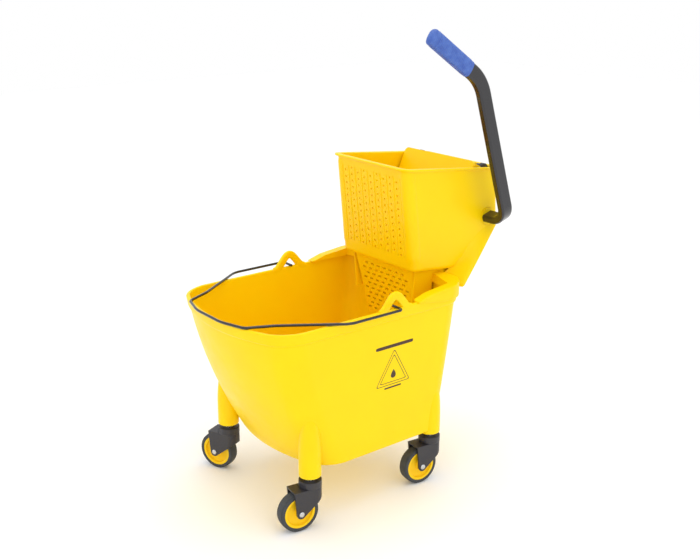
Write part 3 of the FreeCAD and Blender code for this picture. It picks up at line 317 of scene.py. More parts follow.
def lathe(profile, centre, axis, count=96):
    """A profile of (along, radius) turned about an axis: centre, plus along times the axis,
    plus radius times a unit vector that goes once round it."""
    axis = np.asarray(axis, float) / np.linalg.norm(axis)
    spare = np.array([0.0, 0.0, 1.0]) if abs(axis[2]) < 0.9 else np.array([1.0, 0.0, 0.0])
    first = np.cross(axis, spare)
    first /= np.linalg.norm(first)
    second = np.cross(axis, first)
    turn = np.linspace(0, 2 * np.pi, count, endpoint=False)[None, :, None]
    around = first * np.cos(turn) + second * np.sin(turn)
    along, radius = profile[:, 0][:, None, None], profile[:, 1][:, None, None]
    points = np.asarray(centre, float) + along * axis + radius * around
    return points.reshape(-1, 3), quads(len(profile), count)


def reach(edge, angle, height, offset, centre_y):
    """The distance from (0, centre_y) at which edge(x, y, z) grows past offset, along each
    angle, found by halving a bracket thirty times."""
    shape = np.broadcast_shapes(np.shape(angle), np.shape(height), np.shape(offset))
    low, high = np.zeros(shape), np.full(shape, 500.0)
    for _ in range(30):
        middle = (low + high) / 2
        inside = edge(middle * np.cos(angle), centre_y + middle * np.sin(angle), height) < offset
        low, high = np.where(inside, middle, low), np.where(inside, high, middle)
    return (low + high) / 2


def round_corner(first, second, radius):
    """Two signed distances cut together, with a round of the given radius between them."""
    inside = np.minimum(np.maximum(first, second), -radius)
    return inside + np.hypot(np.maximum(first + radius, 0), np.maximum(second + radius, 0))


def three_point(height, heights, values):
    """The parabola through three values, at a height."""
    total = 0.0
    for i, value in enumerate(values):
        weight = 1.0
        for j, other in enumerate(heights):
            if j != i:
                weight = weight * (height - other) / (heights[i] - other)
        total = total + weight * value
    return total


def even_angles(edge, height, centre_y, count):
    """Angles, anticlockwise from +X, that divide an outline into equal lengths."""
    fine = np.linspace(0, 2 * np.pi, 4001)
    radius = reach(edge, fine, height, 0.0, centre_y)
    x, y = radius * np.cos(fine), radius * np.sin(fine)
    run = np.concatenate([[0.0], np.cumsum(np.hypot(np.diff(x), np.diff(y)))])
    return np.interp(np.linspace(0, run[-1], count, endpoint=False), run, fine)


# ---------------------------------------------------------------- the bucket

TUB_HEIGHTS = (108.0, 235.0, 388.0)
TUB_HALF = (150.0, 157.0, 165.0)
TUB_FRONT = (-147.0, -209.0, -252.0)
TUB_BACK = (165.0, 181.0, 197.0)
BOW_RADIUS, TUB_CORNER = 330.0, 36.0
FLOOR, RIM, WALL, BAND_PROUD = 108.0, 388.0, 4.0, 3.2


def tub_edge(x, y, z):
    """Signed distance from the tub's outline at a height: inside two sides and a back, all
    with rounds between, and inside the big circle of the bowed front."""
    half = three_point(z, TUB_HEIGHTS, TUB_HALF)
    front = three_point(z, TUB_HEIGHTS, TUB_FRONT)
    back = three_point(z, TUB_HEIGHTS, TUB_BACK)
    box = round_corner(np.abs(x) - half, y - back, TUB_CORNER)
    return round_corner(box, np.hypot(x, y - front - BOW_RADIUS) - BOW_RADIUS, TUB_CORNER)


def make_tub():
    """The tub is a profile of (offset, height) carried round its outline. The profile runs
    under the floor, up the wall, over the rim's band and lip and down to the inside floor,
    and each point lies where the outline at its height has its offset."""
    foot, lip, inside, fillet = 4.0, 3.0, 1.6, 12.0
    step_round, step_height, step_inset = 2.6, RIM - 19.6, 0.45
    band_round, band_height = 1.2, RIM - 18.4
    even_height, around = 300.0, 460
    inner_top = RIM - inside
    profile = np.concatenate([
        bend(-foot, FLOOR + foot, foot, -90, 0, 8),
        line((0, FLOOR + foot + 3), (0, RIM - 24), 36),
        bend(-step_inset, step_height, step_round, -80, -20, 4),
        bend(BAND_PROUD - band_round, band_height, band_round, -50, 0, 4),
        line((BAND_PROUD, RIM - 15), (BAND_PROUD, RIM - lip - 1), 4),
        bend(BAND_PROUD - lip, RIM - lip, lip, 0, 90, 7),
        bend(-WALL + inside, inner_top, inside, 90, 180, 5),
        line((-WALL, inner_top - 3), (-WALL, FLOOR + WALL + fillet + 2), 34),
        bend(-WALL - fillet, FLOOR + WALL + fillet, fillet, 360, 270, 8)])
    angle = even_angles(tub_edge, even_height, 0.0, around)
    offset, height = profile[:, 0][:, None], profile[:, 1][:, None]
    radius = reach(tub_edge, angle[None, :], height, offset, 0.0)
    inward = np.array([0.0, 0.3, 0.6, 0.85])[:, None]
    radius = np.concatenate([inward * radius[:1], radius, inward[::-1] * radius[-1:]])
    under = np.full((len(inward), 1), height[0, 0])
    floor = np.full((len(inward), 1), height[-1, 0])
    height = np.broadcast_to(np.concatenate([under, height, floor]), radius.shape)
    points = np.stack([radius * np.cos(angle), radius * np.sin(angle), height], axis=-1)
    make_piece("tub_shell", points.reshape(-1, 3), quads(*radius.shape),
               "tub_yellow", "bucket", "bucket_tub", sharp=60)


def make_legs():
    """Each leg is turned from a profile: a bored foot, a straight run, and an elliptical
    top that fades into the tub's corner."""
    foot, top, radius, fade_run = 102.0, 232.0, 20.5, 92.0
    bore, bore_deep, toe = 8.4, 30.0, 2.2
    crown = np.radians(np.linspace(0, 90, 12))
    fade_height = top - fade_run + fade_run * np.sin(crown)
    fade = np.stack([fade_height, radius * np.cos(crown)], axis=-1)
    profile = np.concatenate([
        line((foot + bore_deep, 0), (foot + bore_deep, bore)),
        line((foot + 1, bore), (foot + 0.2, bore + 0.8)),
        line((foot, bore + 1.4), (foot, radius - 2.4)),
        bend(foot + toe, radius - toe, toe, 180, 90, 5),
        line((foot + 6, radius), (top - fade_run - 4, radius), 8),
        fade])
    for caster in CASTERS:
        x, y, _ = joint_place(f"swivel_{caster}_turn")
        points, faces = lathe(profile, (x, y, 0.0), (0, 0, 1), 64)
        make_piece(f"leg_{caster}", points, faces[:, ::-1], "tub_yellow", "bucket", sharp=50)


def joint_place(name):
    """A joint's place in design millimetres."""
    return (np.asarray(JOINTS[name]["pos_m"]) - ORIGIN) / MM


def make_ears():
    """Each bail ear is a rounded rib bent into a hump. Its middle line rises from the rim
    as a raised cosine, slightly narrowed by a power, and its section is a superellipse."""
    middle_y, foot, rise, sunk, rise_power = 28.0, 37.0, 29.0, 5.2, 1.1
    deep, thick, section_power = 7.8, 3.9, 0.6
    share = np.linspace(-1, 1, 61)
    y = middle_y + foot * share
    z = RIM - sunk + rise * (0.5 + 0.5 * np.cos(np.pi * share)) ** rise_power
    slope = np.gradient(z, y)
    lean = np.stack([-slope, np.ones_like(slope)], axis=-1) / np.hypot(slope, 1)[:, None]
    turn = np.linspace(0, 2 * np.pi, 28, endpoint=False)
    out = thick * blunt(np.cos(turn), section_power)
    along = deep * blunt(np.sin(turn), section_power)
    faces = [face[::-1] for face in closed(len(share), len(turn))]
    for side, name in ((1, "near"), (-1, "far")):
        middle_x = side * (TUB_HALF[2] + BAND_PROUD - thick)
        points = np.stack([
            np.broadcast_to(middle_x + out, (len(share), len(turn))),
            y[:, None] + along * lean[:, :1],
            z[:, None] + along * lean[:, 1:]], axis=-1)
        make_piece(f"bail_ear_{name}", points.reshape(-1, 3), faces, "tub_yellow", "bucket",
                   sharp=50)


# ---------------------------------------------------------------- the wringer

HOPPER_HEIGHTS = (424.0, 482.0, 626.0)
HOPPER_HALF = (107.0, 106.4, 104.4)
HOPPER_FRONT = (120.5, 115.0, 100.0)
HOPPER_BACK = (261.0, 344.0, 336.0)
HOPPER_LOW, HOPPER_CENTRE, HOPPER_WALL = 424.0, 160.0, 3.5
HOPPER_FRONT_ROUND, HOPPER_BACK_ROUND = 14.0, 11.0
DRAIN_HALF_X, DRAIN_HALF_Y, DRAIN_Y, DRAIN_ROUND = 84.0, 17.0, 159.0, 6.0
PANEL_PITCH = 18.8


def between(z, heights, values):
    """Straight lines between values given at a few heights."""
    return np.interp(z, heights, values)


def hopper_edge(x, y, z):
    """Signed distance from the hopper's outline at a height, a rectangle with rounds."""
    half = between(z, HOPPER_HEIGHTS, HOPPER_HALF)
    front = between(z, HOPPER_HEIGHTS, HOPPER_FRONT)
    back = between(z, HOPPER_HEIGHTS, HOPPER_BACK)
    rear = round_corner(np.abs(x) - half, y - back, HOPPER_BACK_ROUND)
    return round_corner(rear, front - y, HOPPER_FRONT_ROUND)


def drain_edge(x, y, z):
    """Signed distance from the drain's outline in the hopper's floor, at any height."""
    beyond_x, beyond_y = np.abs(x) - DRAIN_HALF_X, np.abs(y - DRAIN_Y) - DRAIN_HALF_Y
    return round_corner(beyond_x, beyond_y, DRAIN_ROUND) + 0 * z


def hopper_top(y):
    """The rim's height, which falls from front to back in a straight line."""
    front_high, fall, front_y, run = 620.0, 26.0, 99.0, 250.0
    return front_high - fall * np.clip((y - front_y) / run, 0, 1)


def hopper_foot(y):
    """The height of the wall's foot: a lip that falls towards the back, then lifts again."""
    front_high, hang, lift = 419.0, 9.0, 14.0
    fallen = hang * np.clip((y - 124.0) / 110.0, 0, 1)
    return front_high - fallen + lift * np.clip((y - 226.0) / 16.0, 0, 1)


def make_hopper():
    """The hopper is a closed profile carried round its outline: under the floor from the
    drain, up the wall, over the flange, down inside and back along the floor. The lowest
    heights are measured from the wall's foot, the highest from the sloping rim, and the
    wall between goes evenly from one to the other. The two front corners stand proud in a
    bead."""
    around, even_height, rim_height = 420, 520.0, 607.0
    foot_round, flange, lip = 8.0, 4.8, 1.4
    inner_low, floor_round = HOPPER_LOW + 10.0, 6.0
    angle = even_angles(hopper_edge, even_height, HOPPER_CENTRE, around)
    low = np.concatenate([
        line((-17, 5), (-13, 1)),
        bend(-foot_round, foot_round, foot_round, -80, 0, 8),
        [(0, foot_round + 3)]])
    high = np.concatenate([
        [(0, -9)], line((0, -7.5), (1.2, -4.4)),
        bend(flange, -2.4, lip, -90, 0, 4),
        bend(flange, -lip, lip, 0, 90, 4),
        bend(-HOPPER_WALL + lip, -lip, lip, 90, 180, 5)])
    floor = bend(-HOPPER_WALL - floor_round, HOPPER_LOW + HOPPER_WALL + floor_round,
                 floor_round, 360, 270, 6)
    rim_radius = reach(hopper_edge, angle, rim_height, 0.0, HOPPER_CENTRE)
    top = hopper_top(HOPPER_CENTRE + rim_radius * np.sin(angle))
    foot_radius = reach(hopper_edge, angle, HOPPER_LOW, 0.0, HOPPER_CENTRE)
    foot = hopper_foot(HOPPER_CENTRE + foot_radius * np.sin(angle))
    low_rows, high_rows = foot + low[:, 1:], top + high[:, 1:]
    share = np.linspace(0, 1, 26)[1:, None]
    wall = low_rows[-1] * (1 - share[:-1]) + high_rows[0] * share[:-1]
    inner = high_rows[-1] * (1 - share) + inner_low * share
    floor_rows = np.broadcast_to(floor[:, 1:], (len(floor), around))
    height = np.concatenate([low_rows, wall, high_rows, inner, floor_rows])
    offset = np.concatenate([
        low[:, 0], np.zeros(len(wall)), high[:, 0], np.full(len(inner), -HOPPER_WALL),
        floor[:, 0]])[:, None]
    radius = reach(hopper_edge, angle, height, offset, HOPPER_CENTRE)
    bead = corner_bead(radius * np.cos(angle), HOPPER_CENTRE + radius * np.sin(angle), height)
    bead = bead * (offset > -0.2) * np.clip((top - 9 - height) / 4, 0, 1)
    radius = reach(hopper_edge, angle, height, offset + bead, HOPPER_CENTRE)
    drain = reach(drain_edge, angle, HOPPER_LOW, 0.0, HOPPER_CENTRE)
    radius = np.concatenate([drain[None], radius, drain[None]])
    edge = np.full((1, around), HOPPER_LOW)
    height = np.concatenate([edge, height, edge + HOPPER_WALL])
    points = np.stack([
        radius * np.cos(angle), HOPPER_CENTRE + radius * np.sin(angle), height], axis=-1)
    shell = make_piece(
        "hopper_shell", points.reshape(-1, 3), quads(*radius.shape, loop=True),
        "wringer_yellow", "wringer", "wringer_body", sharp=50)
    cut_holes(shell)


def corner_bead(x, y, z):
    """How far the hopper's front corners stand proud: a plateau round each corner's middle
    that falls away over a short edge, above the foot only."""
    proud, wide, edge, inset, low = 1.3, 17.0, 1.6, 4, 440
    half = between(z, HOPPER_HEIGHTS, HOPPER_HALF)
    front = between(z, HOPPER_HEIGHTS, HOPPER_FRONT)
    gap = np.hypot(np.abs(x) - half + inset, y - front - inset)
    return proud * np.clip((wide - gap) / edge, 0, 1) * (z > low)


def cut_holes(shell):
    """Cut the drain holes and the shaft's bores out of the hopper's mesh."""
    holes, faces = panel_holes()
    cutter = bpy.data.meshes.new("hopper_holes")
    cutter.from_pydata(at(holes).tolist(), [], faces)
    tool = bpy.data.objects.new("hopper_holes", cutter)
    bpy.context.scene.collection.objects.link(tool)
    cut = shell.modifiers.new("holes", "BOOLEAN")
    cut.object = tool
    cut.operation = "DIFFERENCE"
    cut.solver = "EXACT"
    bpy.context.view_layer.update()
    ready = shell.evaluated_get(bpy.context.evaluated_depsgraph_get())
    mesh = bpy.data.meshes.new_from_object(ready)
    shell.modifiers.clear()
    shell.data = mesh
    mesh.set_sharp_from_angle(angle=math.radians(50))
    bpy.data.objects.remove(tool)


def prism(centres, size, axis, sides=12):
    """Many equal prisms, each a ring of points round its centre repeated at both ends of
    the axis: centre, plus size times the cosine and sine of the ring's angle."""
    turn = np.linspace(0, 2 * np.pi, sides, endpoint=False)
    flat = [index for index in range(3) if index != axis]
    ring = np.zeros((2, sides, 3))
    ring[..., flat[0]] = size[flat[0]] * np.cos(turn)
    ring[..., flat[1]] = size[flat[1]] * np.sin(turn)
    ring[0, :, axis] -= size[axis]
    ring[1, :, axis] += size[axis]
    points = np.asarray(centres, float)[:, None, None, :] + ring[None]
    one = closed(2, sides)
    if axis == 1:
        one = [face[::-1] for face in one]
    faces = [[index + 2 * sides * step for index in face]
             for step in range(len(centres)) for face in one]
    return points.reshape(-1, 3), faces


def panel_holes():
    """The front wall's staggered drain holes, and the shaft's bores in the side walls."""
    columns, rows, row_pitch, stagger, lowest = 9, 12, 12.8, 6.3, 450.0
    hole, wall_x, bore_deep, near_bore, far_bore = 2.3, 102.0, 14.0, 17.6, 12.6
    across = (np.arange(columns) - columns // 2) * PANEL_PITCH
    x, z = np.meshgrid(across, lowest + np.arange(rows) * row_pitch)
    z = z + np.where(np.arange(columns) % 2 == 1, stagger, 0.0)[None, :]
    y = between(z, HOPPER_HEIGHTS, HOPPER_FRONT)
    middles = np.stack([x.ravel(), y.ravel(), z.ravel()], axis=-1)
    groups = [
        prism(middles, (hole, 9.0, hole), 1),
        prism([(wall_x, SHAFT_Y, SHAFT_Z)], (bore_deep, near_bore, near_bore), 0, 48),
        prism([(-wall_x, SHAFT_Y, SHAFT_Z)], (bore_deep, far_bore, far_bore), 0, 48)]
    points, faces = [], []
    for group, group_faces in groups:
        start = sum(len(earlier) for earlier in points)
        points.append(group)
        faces += [[index + start for index in face] for face in group_faces]
    return np.concatenate(points), faces


def make_panel_ribs():
    """Slender upright ribs on the front wall, midway between its columns of holes. Each is
    an ellipse in section, half sunk in the wall, that shrinks to nothing at its ends."""
    count, along, low, high, taper = 10, 40, 446, 602, 5.0
    half_wide, proud, lift = 1.5, 1.0, 0.3
    x = (np.arange(count) - (count - 1) / 2) * PANEL_PITCH
    z = np.linspace(low, high, along)
    swell = np.clip(np.minimum(z - low, high - z) / taper, 0, 1) ** 0.5
    turn = np.radians(np.linspace(0, 360, 14, endpoint=False))
    y = between(z, HOPPER_HEIGHTS, HOPPER_FRONT)
    shape = (count, along, len(turn))
    size = swell[None, :, None]
    points = np.stack([
        np.broadcast_to(x[:, None, None] + half_wide * size * np.cos(turn), shape),
        np.broadcast_to(y[None, :, None] - lift - proud * size * np.sin(turn), shape),
        np.broadcast_to(z[None, :, None], shape)], axis=-1)
    one = quads(along, len(turn))
    faces = (one[None] + (np.arange(count) * along * len(turn))[:, None, None]).reshape(-1, 4)
    make_piece("panel_ribs", points.reshape(-1, 3), faces[:, ::-1], "wringer_yellow", "wringer")


def make_wing():
    """The flared back is a skin whose plan, from one side wall round to the other, runs out
    in a smooth S to the back's full half width, round a corner and across. The start, the
    half width and the back each go in straight lines between three levels, from the shelf up
    to the hopper."""
    levels, rows, corner, thick = (389.0, 424.0, 484.0), 24, 4.0, 3.0
    z = np.linspace(levels[0], levels[2], rows)[:, None]
    half = between(z, levels, (150.5, 134.0, 106.6))
    start = between(z, levels, (97.0, 103.9, 103.6))
    front = between(z, levels, (188.0, 236.0, 276.0))
    back = between(z, levels, (215.5, 264.5, 344.5))
    turn = np.radians(np.linspace(0, 90, 6))[None, :]
    run = np.linspace(0, 1, 16)[None, :]
    swing = run ** 2 * (3 - 2 * run)
    parts_x = [
        start + (half - start) * swing,
        half - corner + corner * np.cos(turn),
        (half - corner) * (1 - run)]
    parts_y = [
        front + (back - corner - front) * run,
        back - corner + corner * np.sin(turn),
        back + 0 * run]
    x, y = np.concatenate(parts_x, axis=1), np.concatenate(parts_y, axis=1)
    x, y = np.concatenate([x, -x[:, ::-1]], axis=1), np.concatenate([y, y[:, ::-1]], axis=1)
    points = np.stack([x, y, np.broadcast_to(z, x.shape)], axis=-1)
    piece = make_piece("wing_skin", points.reshape(-1, 3), quads(*x.shape, ring=False),
                       "wringer_yellow", "wringer", sharp=60)
    wall = piece.modifiers.new("wall", "SOLIDIFY")
    wall.thickness = thick * MM
    wall.offset = -1.0


def make_cheeks():
    """A cheek on each side closes the space between the shelf and the hopper. It is a
    superellipse in plan, drawn up to the hopper's floor. Its back end keeps inside the
    slanting wing, and it is shorter still inside the bucket."""
    middle_x, half_thick, front, slant, power = 93.2, 1.7, 138.0, 0.12, 0.25
    z = np.array([345.0, 386.0, 389.5, 400.0, 412.0, 426.0])[:, None]
    back = between(z, (386.0, 389.5, 424.0), (187.0, 205.0, 238.0))
    turn = np.linspace(0, 2 * np.pi, 64, endpoint=False)
    lean = slant * (z - z[-1])
    for side, name in ((1, "near"), (-1, "far")):
        x = side * (middle_x + lean) + half_thick * blunt(np.cos(turn), power)[None, :]
        y = (front + back) / 2 + (back - front) / 2 * blunt(np.sin(turn), power)[None, :]
        points = np.stack([x, y, z + 0 * x], axis=-1).reshape(-1, 3)
        make_piece(f"hopper_cheek_{name}", points, closed(len(z), len(turn)),
                   "wringer_yellow", "wringer")


def make_shelf():
    """The shelf and skirt are one closed section carried round the back of the rim. Its
    outer points keep an offset from the rim's outline and its inner ones follow the inside
    edge, along both arms and across behind the strainer. The top falls forwards."""
    start_y, skirt_low, shelf_low, fade_run = 80.0, 378.0, 388.5, 60.0
    outermost, gap, skirt_middle, skirt_round = 6.4, 3.8, 5.1, 1.3
    top_middle, top_round, edge_drop = 5.0, 1.4, 0.8
    fine = np.linspace(0, np.pi, 2001)
    radius = reach(tub_edge, fine, RIM, outermost, 0.0)
    x, y = radius * np.cos(fine), radius * np.sin(fine)
    keep = y >= start_y
    x, y = x[keep], y[keep]
    run = np.concatenate([[0.0], np.cumsum(np.hypot(np.diff(x), np.diff(y)))])
    spots = np.linspace(0, 1, 220)
    angle = np.arctan2(np.interp(spots, run / run[-1], y), np.interp(spots, run / run[-1], x))
    inner_x = np.array([157.0, 153.0, 152.0, 94.0, -94.0, -152.0, -153.0, -157.0])
    inner_y = np.array([80.0, 84.0, 168.0, 184.0, 184.0, 168.0, 84.0, 80.0])
    share = np.concatenate([[0.0], np.cumsum(np.hypot(np.diff(inner_x), np.diff(inner_y)))])
    inner = np.stack([
        np.interp(spots, share / share[-1], inner_x),
        np.interp(spots, share / share[-1], inner_y)], axis=-1)
    skirt = np.concatenate([
        [(gap, shelf_low - 0.2), (gap, skirt_low + 0.8)],
        bend(skirt_middle, skirt_low + skirt_round, skirt_round, 180, 360, 7)])
    outer_radius = reach(tub_edge, angle, RIM, skirt[:, :1], 0.0)
    low_y = outer_radius * np.sin(angle)
    fade = np.interp(low_y, (start_y, start_y + fade_run), (0.08, 1.0))
    low_z = shelf_low + (skirt[:, 1:] - shelf_low) * fade
    low_points = np.stack([outer_radius * np.cos(angle), low_y, low_z], axis=-1)
    shoulder = bend(top_middle, -top_round, top_round, 0, 90, 5)
    high_radius = reach(tub_edge, angle, RIM, shoulder[:, :1], 0.0)
    high_x, high_y = high_radius * np.cos(angle), high_radius * np.sin(angle)
    high_points = np.stack([high_x, high_y, shelf_top(high_y) + shoulder[:, 1:]], axis=-1)
    inner_top = np.stack([inner[:, 0], inner[:, 1], shelf_top(inner[:, 1])], axis=-1)[None]
    inner_low = inner_top.copy()
    inner_low[..., 2] = shelf_low
    ridge = inner_top.copy()
    ridge[..., 2] -= edge_drop
    points = np.concatenate([low_points, high_points, inner_top, ridge, inner_low])
    rows, columns = points.shape[:2]
    faces = quads(rows, columns, ring=False, loop=True).tolist()
    faces.append([row * columns for row in range(rows)])
    faces.append([row * columns + columns - 1 for row in range(rows)][::-1])
    make_piece("shelf_and_skirt", points.reshape(-1, 3), faces, "wringer_yellow", "wringer",
               sharp=40)


def shelf_top(y):
    """The shelf's top, which rises from the front of its arms to its back."""
    return np.interp(y, (80.0, 110.0, 216.0), (389.6, 398.0, 409.0))


def make_bosses():
    """A turned boss in each side wall carries the shaft, the far one smaller all round."""
    inner_x, outer_x, bore, radius, corner, far_less = 91.0, 103.4, 17.7, 23.0, 1.5, 5.0
    profile = np.concatenate([
        line((inner_x, bore), (inner_x, radius - corner)),
        bend(inner_x + corner, radius - corner, corner, 180, 90, 4),
        line((outer_x, radius), (outer_x, bore))])
    for side, name, less in ((1, "near", 0.0), (-1, "far", far_less)):
        points, _ = lathe(profile * (side, 1) - (0, less), (0, SHAFT_Y, SHAFT_Z), (1, 0, 0), 72)
        faces = quads(len(profile), 72, loop=True)
        faces = faces if side < 0 else faces[:, ::-1]
        make_piece(f"shaft_boss_{name}", points, faces, "wringer_yellow", "wringer", sharp=50)


# ---------------------------------------------------------------- casters and grip

def make_wheels():
    """Tyre and hub are turned about the wheel's axle. The tyre has a crowned tread between
    two shoulder lines, and the hub a raised rim, a sunken disc and a boss."""
    tyre_radius, crown_fall, tread_half, around = 37.5, 0.0085, 7.6, 120
    tread = np.linspace(-tread_half, tread_half, 9)
    crown = np.stack([tread, tyre_radius - crown_fall * tread ** 2], axis=-1)
    right = np.array([(8.2, 36.3), (8.8, 36.3), (9.4, 36.75)])
    side = np.concatenate([
        right, bend(8.4, 34.2, 2.5, 80, 0, 6), line((10.9, 33.4), (10.7, 31.2)),
        line((10.6, 30.5), (10.0, 30.1))])
    tyre = np.concatenate([side[::-1] * (-1, 1), crown, side])
    dish = np.array([
        (9.9, 30.0), (10.1, 29.2), (10.1, 26.4), (9.7, 25.6), (5.6, 24.6), (5.0, 23.8),
        (5.0, 10.6), (5.4, 9.8), (9.2, 9.0), (9.8, 8.4), (9.9, 4.2)])
    hub = np.concatenate([dish[::-1] * (-1, 1), dish])
    for caster in CASTERS:
        place = joint_place(f"wheel_{caster}_turn")
        axis = JOINTS[f"wheel_{caster}_turn"]["axis"]
        for name, profile, slot in (("tyre", tyre, "tyre_grey"), ("wheel_hub", hub, "hub_yellow")):
            points, _ = lathe(profile, place, axis, around)
            faces = quads(len(profile), around, loop=True)
            make_piece(f"{name}_{caster}_turned", points, faces[:, ::-1], slot,
                       f"wheel_{caster}", f"{name}_{caster}", sharp=32)


def make_grip():
    """The vinyl grip is a superellipse carried along the lever's end, with a fine rib every
    4 mm. Its size stays even along the lever and falls as a quarter ellipse over the closed
    end."""
    length, cap, rib_pitch, rib_proud = 106.0, 7.0, 4.0, 0.5
    half_thin, half_wide, power = 9.6, 15.1, 0.72
    start, stop = np.array((160.0, 226.0, 775.0)), np.array((160.0, 107.0, 855.0))
    along = (stop - start) / np.linalg.norm(stop - start)
    broad = np.array((1.0, 0.0, 0.0))
    deep = np.cross(along, broad)
    quarter = np.radians(np.linspace(0, 90, 12))[1:]
    run = np.concatenate([
        [-length], np.linspace(0.4 - length, 1.0, 214), 1.0 + cap - cap * np.cos(quarter)])
    dome = np.sqrt(np.clip(1 - (np.clip(run - 1.0, 0, cap) / cap) ** 2, 0, 1))
    ribbed = (run > 8 - length) * (run < -4)
    rib = rib_proud * np.abs(np.sin(np.pi * run / rib_pitch)) ** 0.7 * ribbed
    size = np.where(run < 0.2 - length, 0.93, dome)
    turn = np.linspace(0, 2 * np.pi, 72, endpoint=False)
    thin = (half_thin * size + rib * dome)[:, None] * blunt(np.cos(turn), power)[None, :]
    wide = (half_wide * size + rib * dome)[:, None] * blunt(np.sin(turn), power)[None, :]
    middle = stop + run[:, None] * along
    points = middle[:, None, :] + thin[..., None] * broad + wide[..., None] * deep
    faces = quads(len(run), len(turn)).tolist() + [list(range(len(turn)))[::-1]]
    make_piece("grip_ribbed", points.reshape(-1, 3), faces, "grip_blue", "lever",
               "handle_grip", sharp=50)


def make_springs():
    """Each return spring is a round wire on a helix about the shaft: the wire's middle goes
    round at the coil's radius while it moves along by the pitch each turn."""
    coil, wire, pitch, turns, start = 11.5, 1.1, 2.9, 6, 46.0
    sides = 12
    step = np.linspace(0, turns * 2 * np.pi, turns * 36)
    section = np.linspace(0, 2 * np.pi, sides, endpoint=False)
    radius = coil + wire * np.cos(section)[None, :]
    for side, name in ((1, "near"), (-1, "far")):
        x = side * (start + pitch * step[:, None] / (2 * np.pi) + wire * np.sin(section))
        points = np.stack([
            x,
            SHAFT_Y + radius * np.cos(step)[:, None],
            SHAFT_Z + radius * np.sin(step)[:, None]], axis=-1)
        faces = closed(len(step), sides)
        faces = faces if side > 0 else [face[::-1] for face in faces]
        make_piece(f"return_spring_{name}_coil", points.reshape(-1, 3), faces, "zinc_steel",
                   "lever", f"return_spring_{name}", sharp=60)


def wall_print(name, loops, finish):
    """A print on the near side: each loop is a closed strip between two outlines, given as
    (back, up) points, and its x is found by halving, just outside the tub's wall."""
    lift = 0.12
    points, faces = [], []
    for inner, outer in loops:
        flat = np.concatenate([inner, outer])
        low, high = np.full(len(flat), 100.0), np.full(len(flat), 220.0)
        for _ in range(30):
            middle = (low + high) / 2
            inside = tub_edge(middle, flat[:, 0], flat[:, 1]) < lift
            low, high = np.where(inside, middle, low), np.where(inside, high, middle)
        count, base = len(inner), sum(len(group) for group in points)
        points.append(np.column_stack([low, flat]))
        faces.append(quads(2, count) + base)
    make_piece(name, np.concatenate(points), np.concatenate(faces)[:, ::-1], "black_plastic",
               "bucket", finish=finish)


def soft_polygon(centre, radius, corners, power_round, turn=90.0, count=144):
    """A regular polygon with soft corners: its radius at an angle is a power mean of the
    distances to its sides."""
    angle = np.linspace(0, 2 * np.pi, count, endpoint=False)
    sides = np.radians(turn + 180.0 / corners + 360.0 / corners * np.arange(corners))
    facing = np.clip(np.cos(angle[:, None] - sides[None, :]), 1e-6, None)
    reach_out = radius / (facing ** power_round).sum(axis=1) ** (1 / power_round)
    return np.stack([
        centre[0] + reach_out * np.cos(angle), centre[1] + reach_out * np.sin(angle)], axis=-1)


def make_label():
    """A plain printed sign: two soft triangles round a drop, with a bar above and a short
    bar below. It carries no letters."""
    ink = new_material("screen_print_ink", "#3A2412", 0.5, IOR=1.5)
    finish, tree, shader, where = ink
    speck = spread(tree, noise(tree, where, 0.9, 3.0), 0.0, 1.0)
    tree.links.new(mix_colours(tree, speck, "#35200F", "#4A2F18"), shader.inputs["Base Color"])
    middle, band, corners, softness = (31.0, 262.0), 1.1, 3, 14
    loops = [(soft_polygon(middle, size - band, corners, softness),
              soft_polygon(middle, size, corners, softness)) for size in (23.5, 18.5)]
    angle = np.linspace(0, 2 * np.pi, 144, endpoint=False)
    drop_size, drop_thin, drop_tall = 7.0, 0.75, 1.25
    narrowing = np.clip(1 - np.sin(angle), 0, 2) ** 0.6
    drop = np.stack([
        middle[0] + drop_size * np.cos(angle) * narrowing * drop_thin,
        middle[1] - 2.0 + drop_size * drop_tall * np.sin(angle)], axis=-1)
    loops.append((np.broadcast_to(np.array(middle) - (0, 3.0), drop.shape), drop))
    for up, half, tall in ((316.0, 44.0, 3.2), (233.0, 20.0, 1.6)):
        bar = np.stack([
            middle[0] + half * blunt(np.cos(angle), 0.12),
            up + tall * blunt(np.sin(angle), 0.4)], axis=-1)
        loops.append((np.broadcast_to(np.array((middle[0], up)), bar.shape), bar))
    wall_print("side_sign", loops, finish)


make_tub()
make_legs()
make_ears()
make_hopper()
make_panel_ribs()
make_wing()
make_shelf()
make_cheeks()
make_bosses()
make_wheels()
make_grip()
make_springs()
make_label()
for caster in CASTERS:
    soften(f"caster_fork_{caster}", 0.7)
    soften(f"swivel_collar_{caster}", 0.8)
    soften(f"wheel_axle_{caster}", 0.5)


# ---------------------------------------------------------------- every CAD node's finish

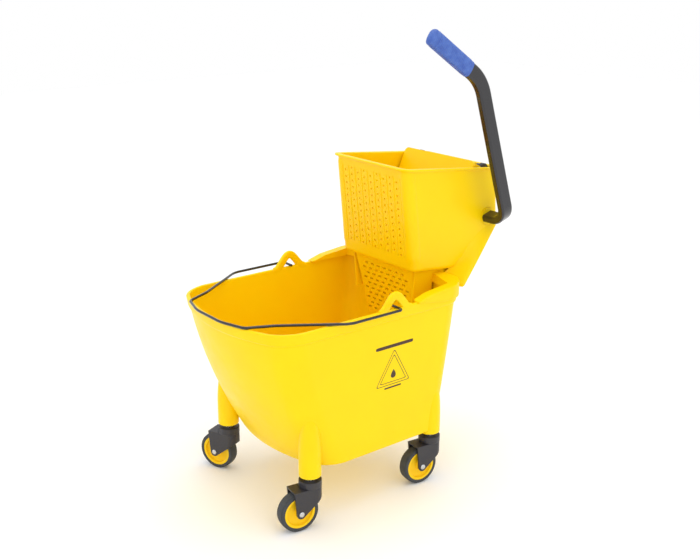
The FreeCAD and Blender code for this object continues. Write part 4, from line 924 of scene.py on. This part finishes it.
for part in frame["record"]["subparts"]:
    node = frame["nodes"][part["node"]]
    node.data.materials.clear()
    node.data.materials.append(FINISH[part["material_slot"]])
    node.data.set_sharp_from_angle(angle=math.radians(30))


# ---------------------------------------------------------------- camera, light, floor

def aim(item, place, target):
    """Put a camera or lamp at a place, facing a target, upright."""
    item.location = Vector(place)
    item.rotation_euler = (Vector(target) - Vector(place)).to_track_quat("-Z", "Y").to_euler()


def make_camera():
    """The camera looks down on the lever's side, from in front."""
    data = bpy.data.cameras.new("camera")
    data.sensor_width = 36.0
    data.lens = 52.64
    camera = bpy.data.objects.new("camera", data)
    bpy.context.scene.collection.objects.link(camera)
    aim(camera, at((1465.4, -1101.0, 995.3)), at((69.8, 0.0, 422.6)))
    bpy.context.scene.camera = camera


def make_lamp(name, place, target, size, power):
    """A rectangular soft lamp, of a size in metres and a power in watts."""
    data = bpy.data.lights.new(name, "AREA")
    data.shape = "RECTANGLE"
    data.size, data.size_y = size
    data.energy = power
    lamp = bpy.data.objects.new(name, data)
    bpy.context.scene.collection.objects.link(lamp)
    aim(lamp, place, target)


def make_studio():
    """A plain white world, three soft lamps and a pale floor."""
    world = bpy.data.worlds.new("studio")
    world.use_nodes = True
    back = world.node_tree.nodes["Background"]
    back.inputs["Color"].default_value = (1.0, 1.0, 1.0, 1.0)
    back.inputs["Strength"].default_value = 1.0
    bpy.context.scene.world = world
    bpy.context.scene.view_settings.view_transform = "Standard"
    middle = (0.0, 0.0, 0.4)
    make_lamp("key", (2.6, -0.4, 2.2), middle, (1.6, 1.6), 10.0)
    make_lamp("fill", (-0.6, -2.8, 1.6), middle, (2.0, 1.4), 3.0)
    make_lamp("top", (0.0, 0.2, 3.0), middle, (2.2, 2.2), 17.0)
    span = 6.0
    mesh = bpy.data.meshes.new("floor")
    corners = [(-span, -span, 0), (span, -span, 0), (span, span, 0), (-span, span, 0)]
    mesh.from_pydata(corners, [], [(0, 1, 2, 3)])
    mesh.materials.append(new_material("pale_floor", "#FFFFFF", 0.9)[0])
    floor = bpy.data.objects.new("floor", mesh)
    bpy.context.scene.collection.objects.link(floor)


make_camera()
make_studio()
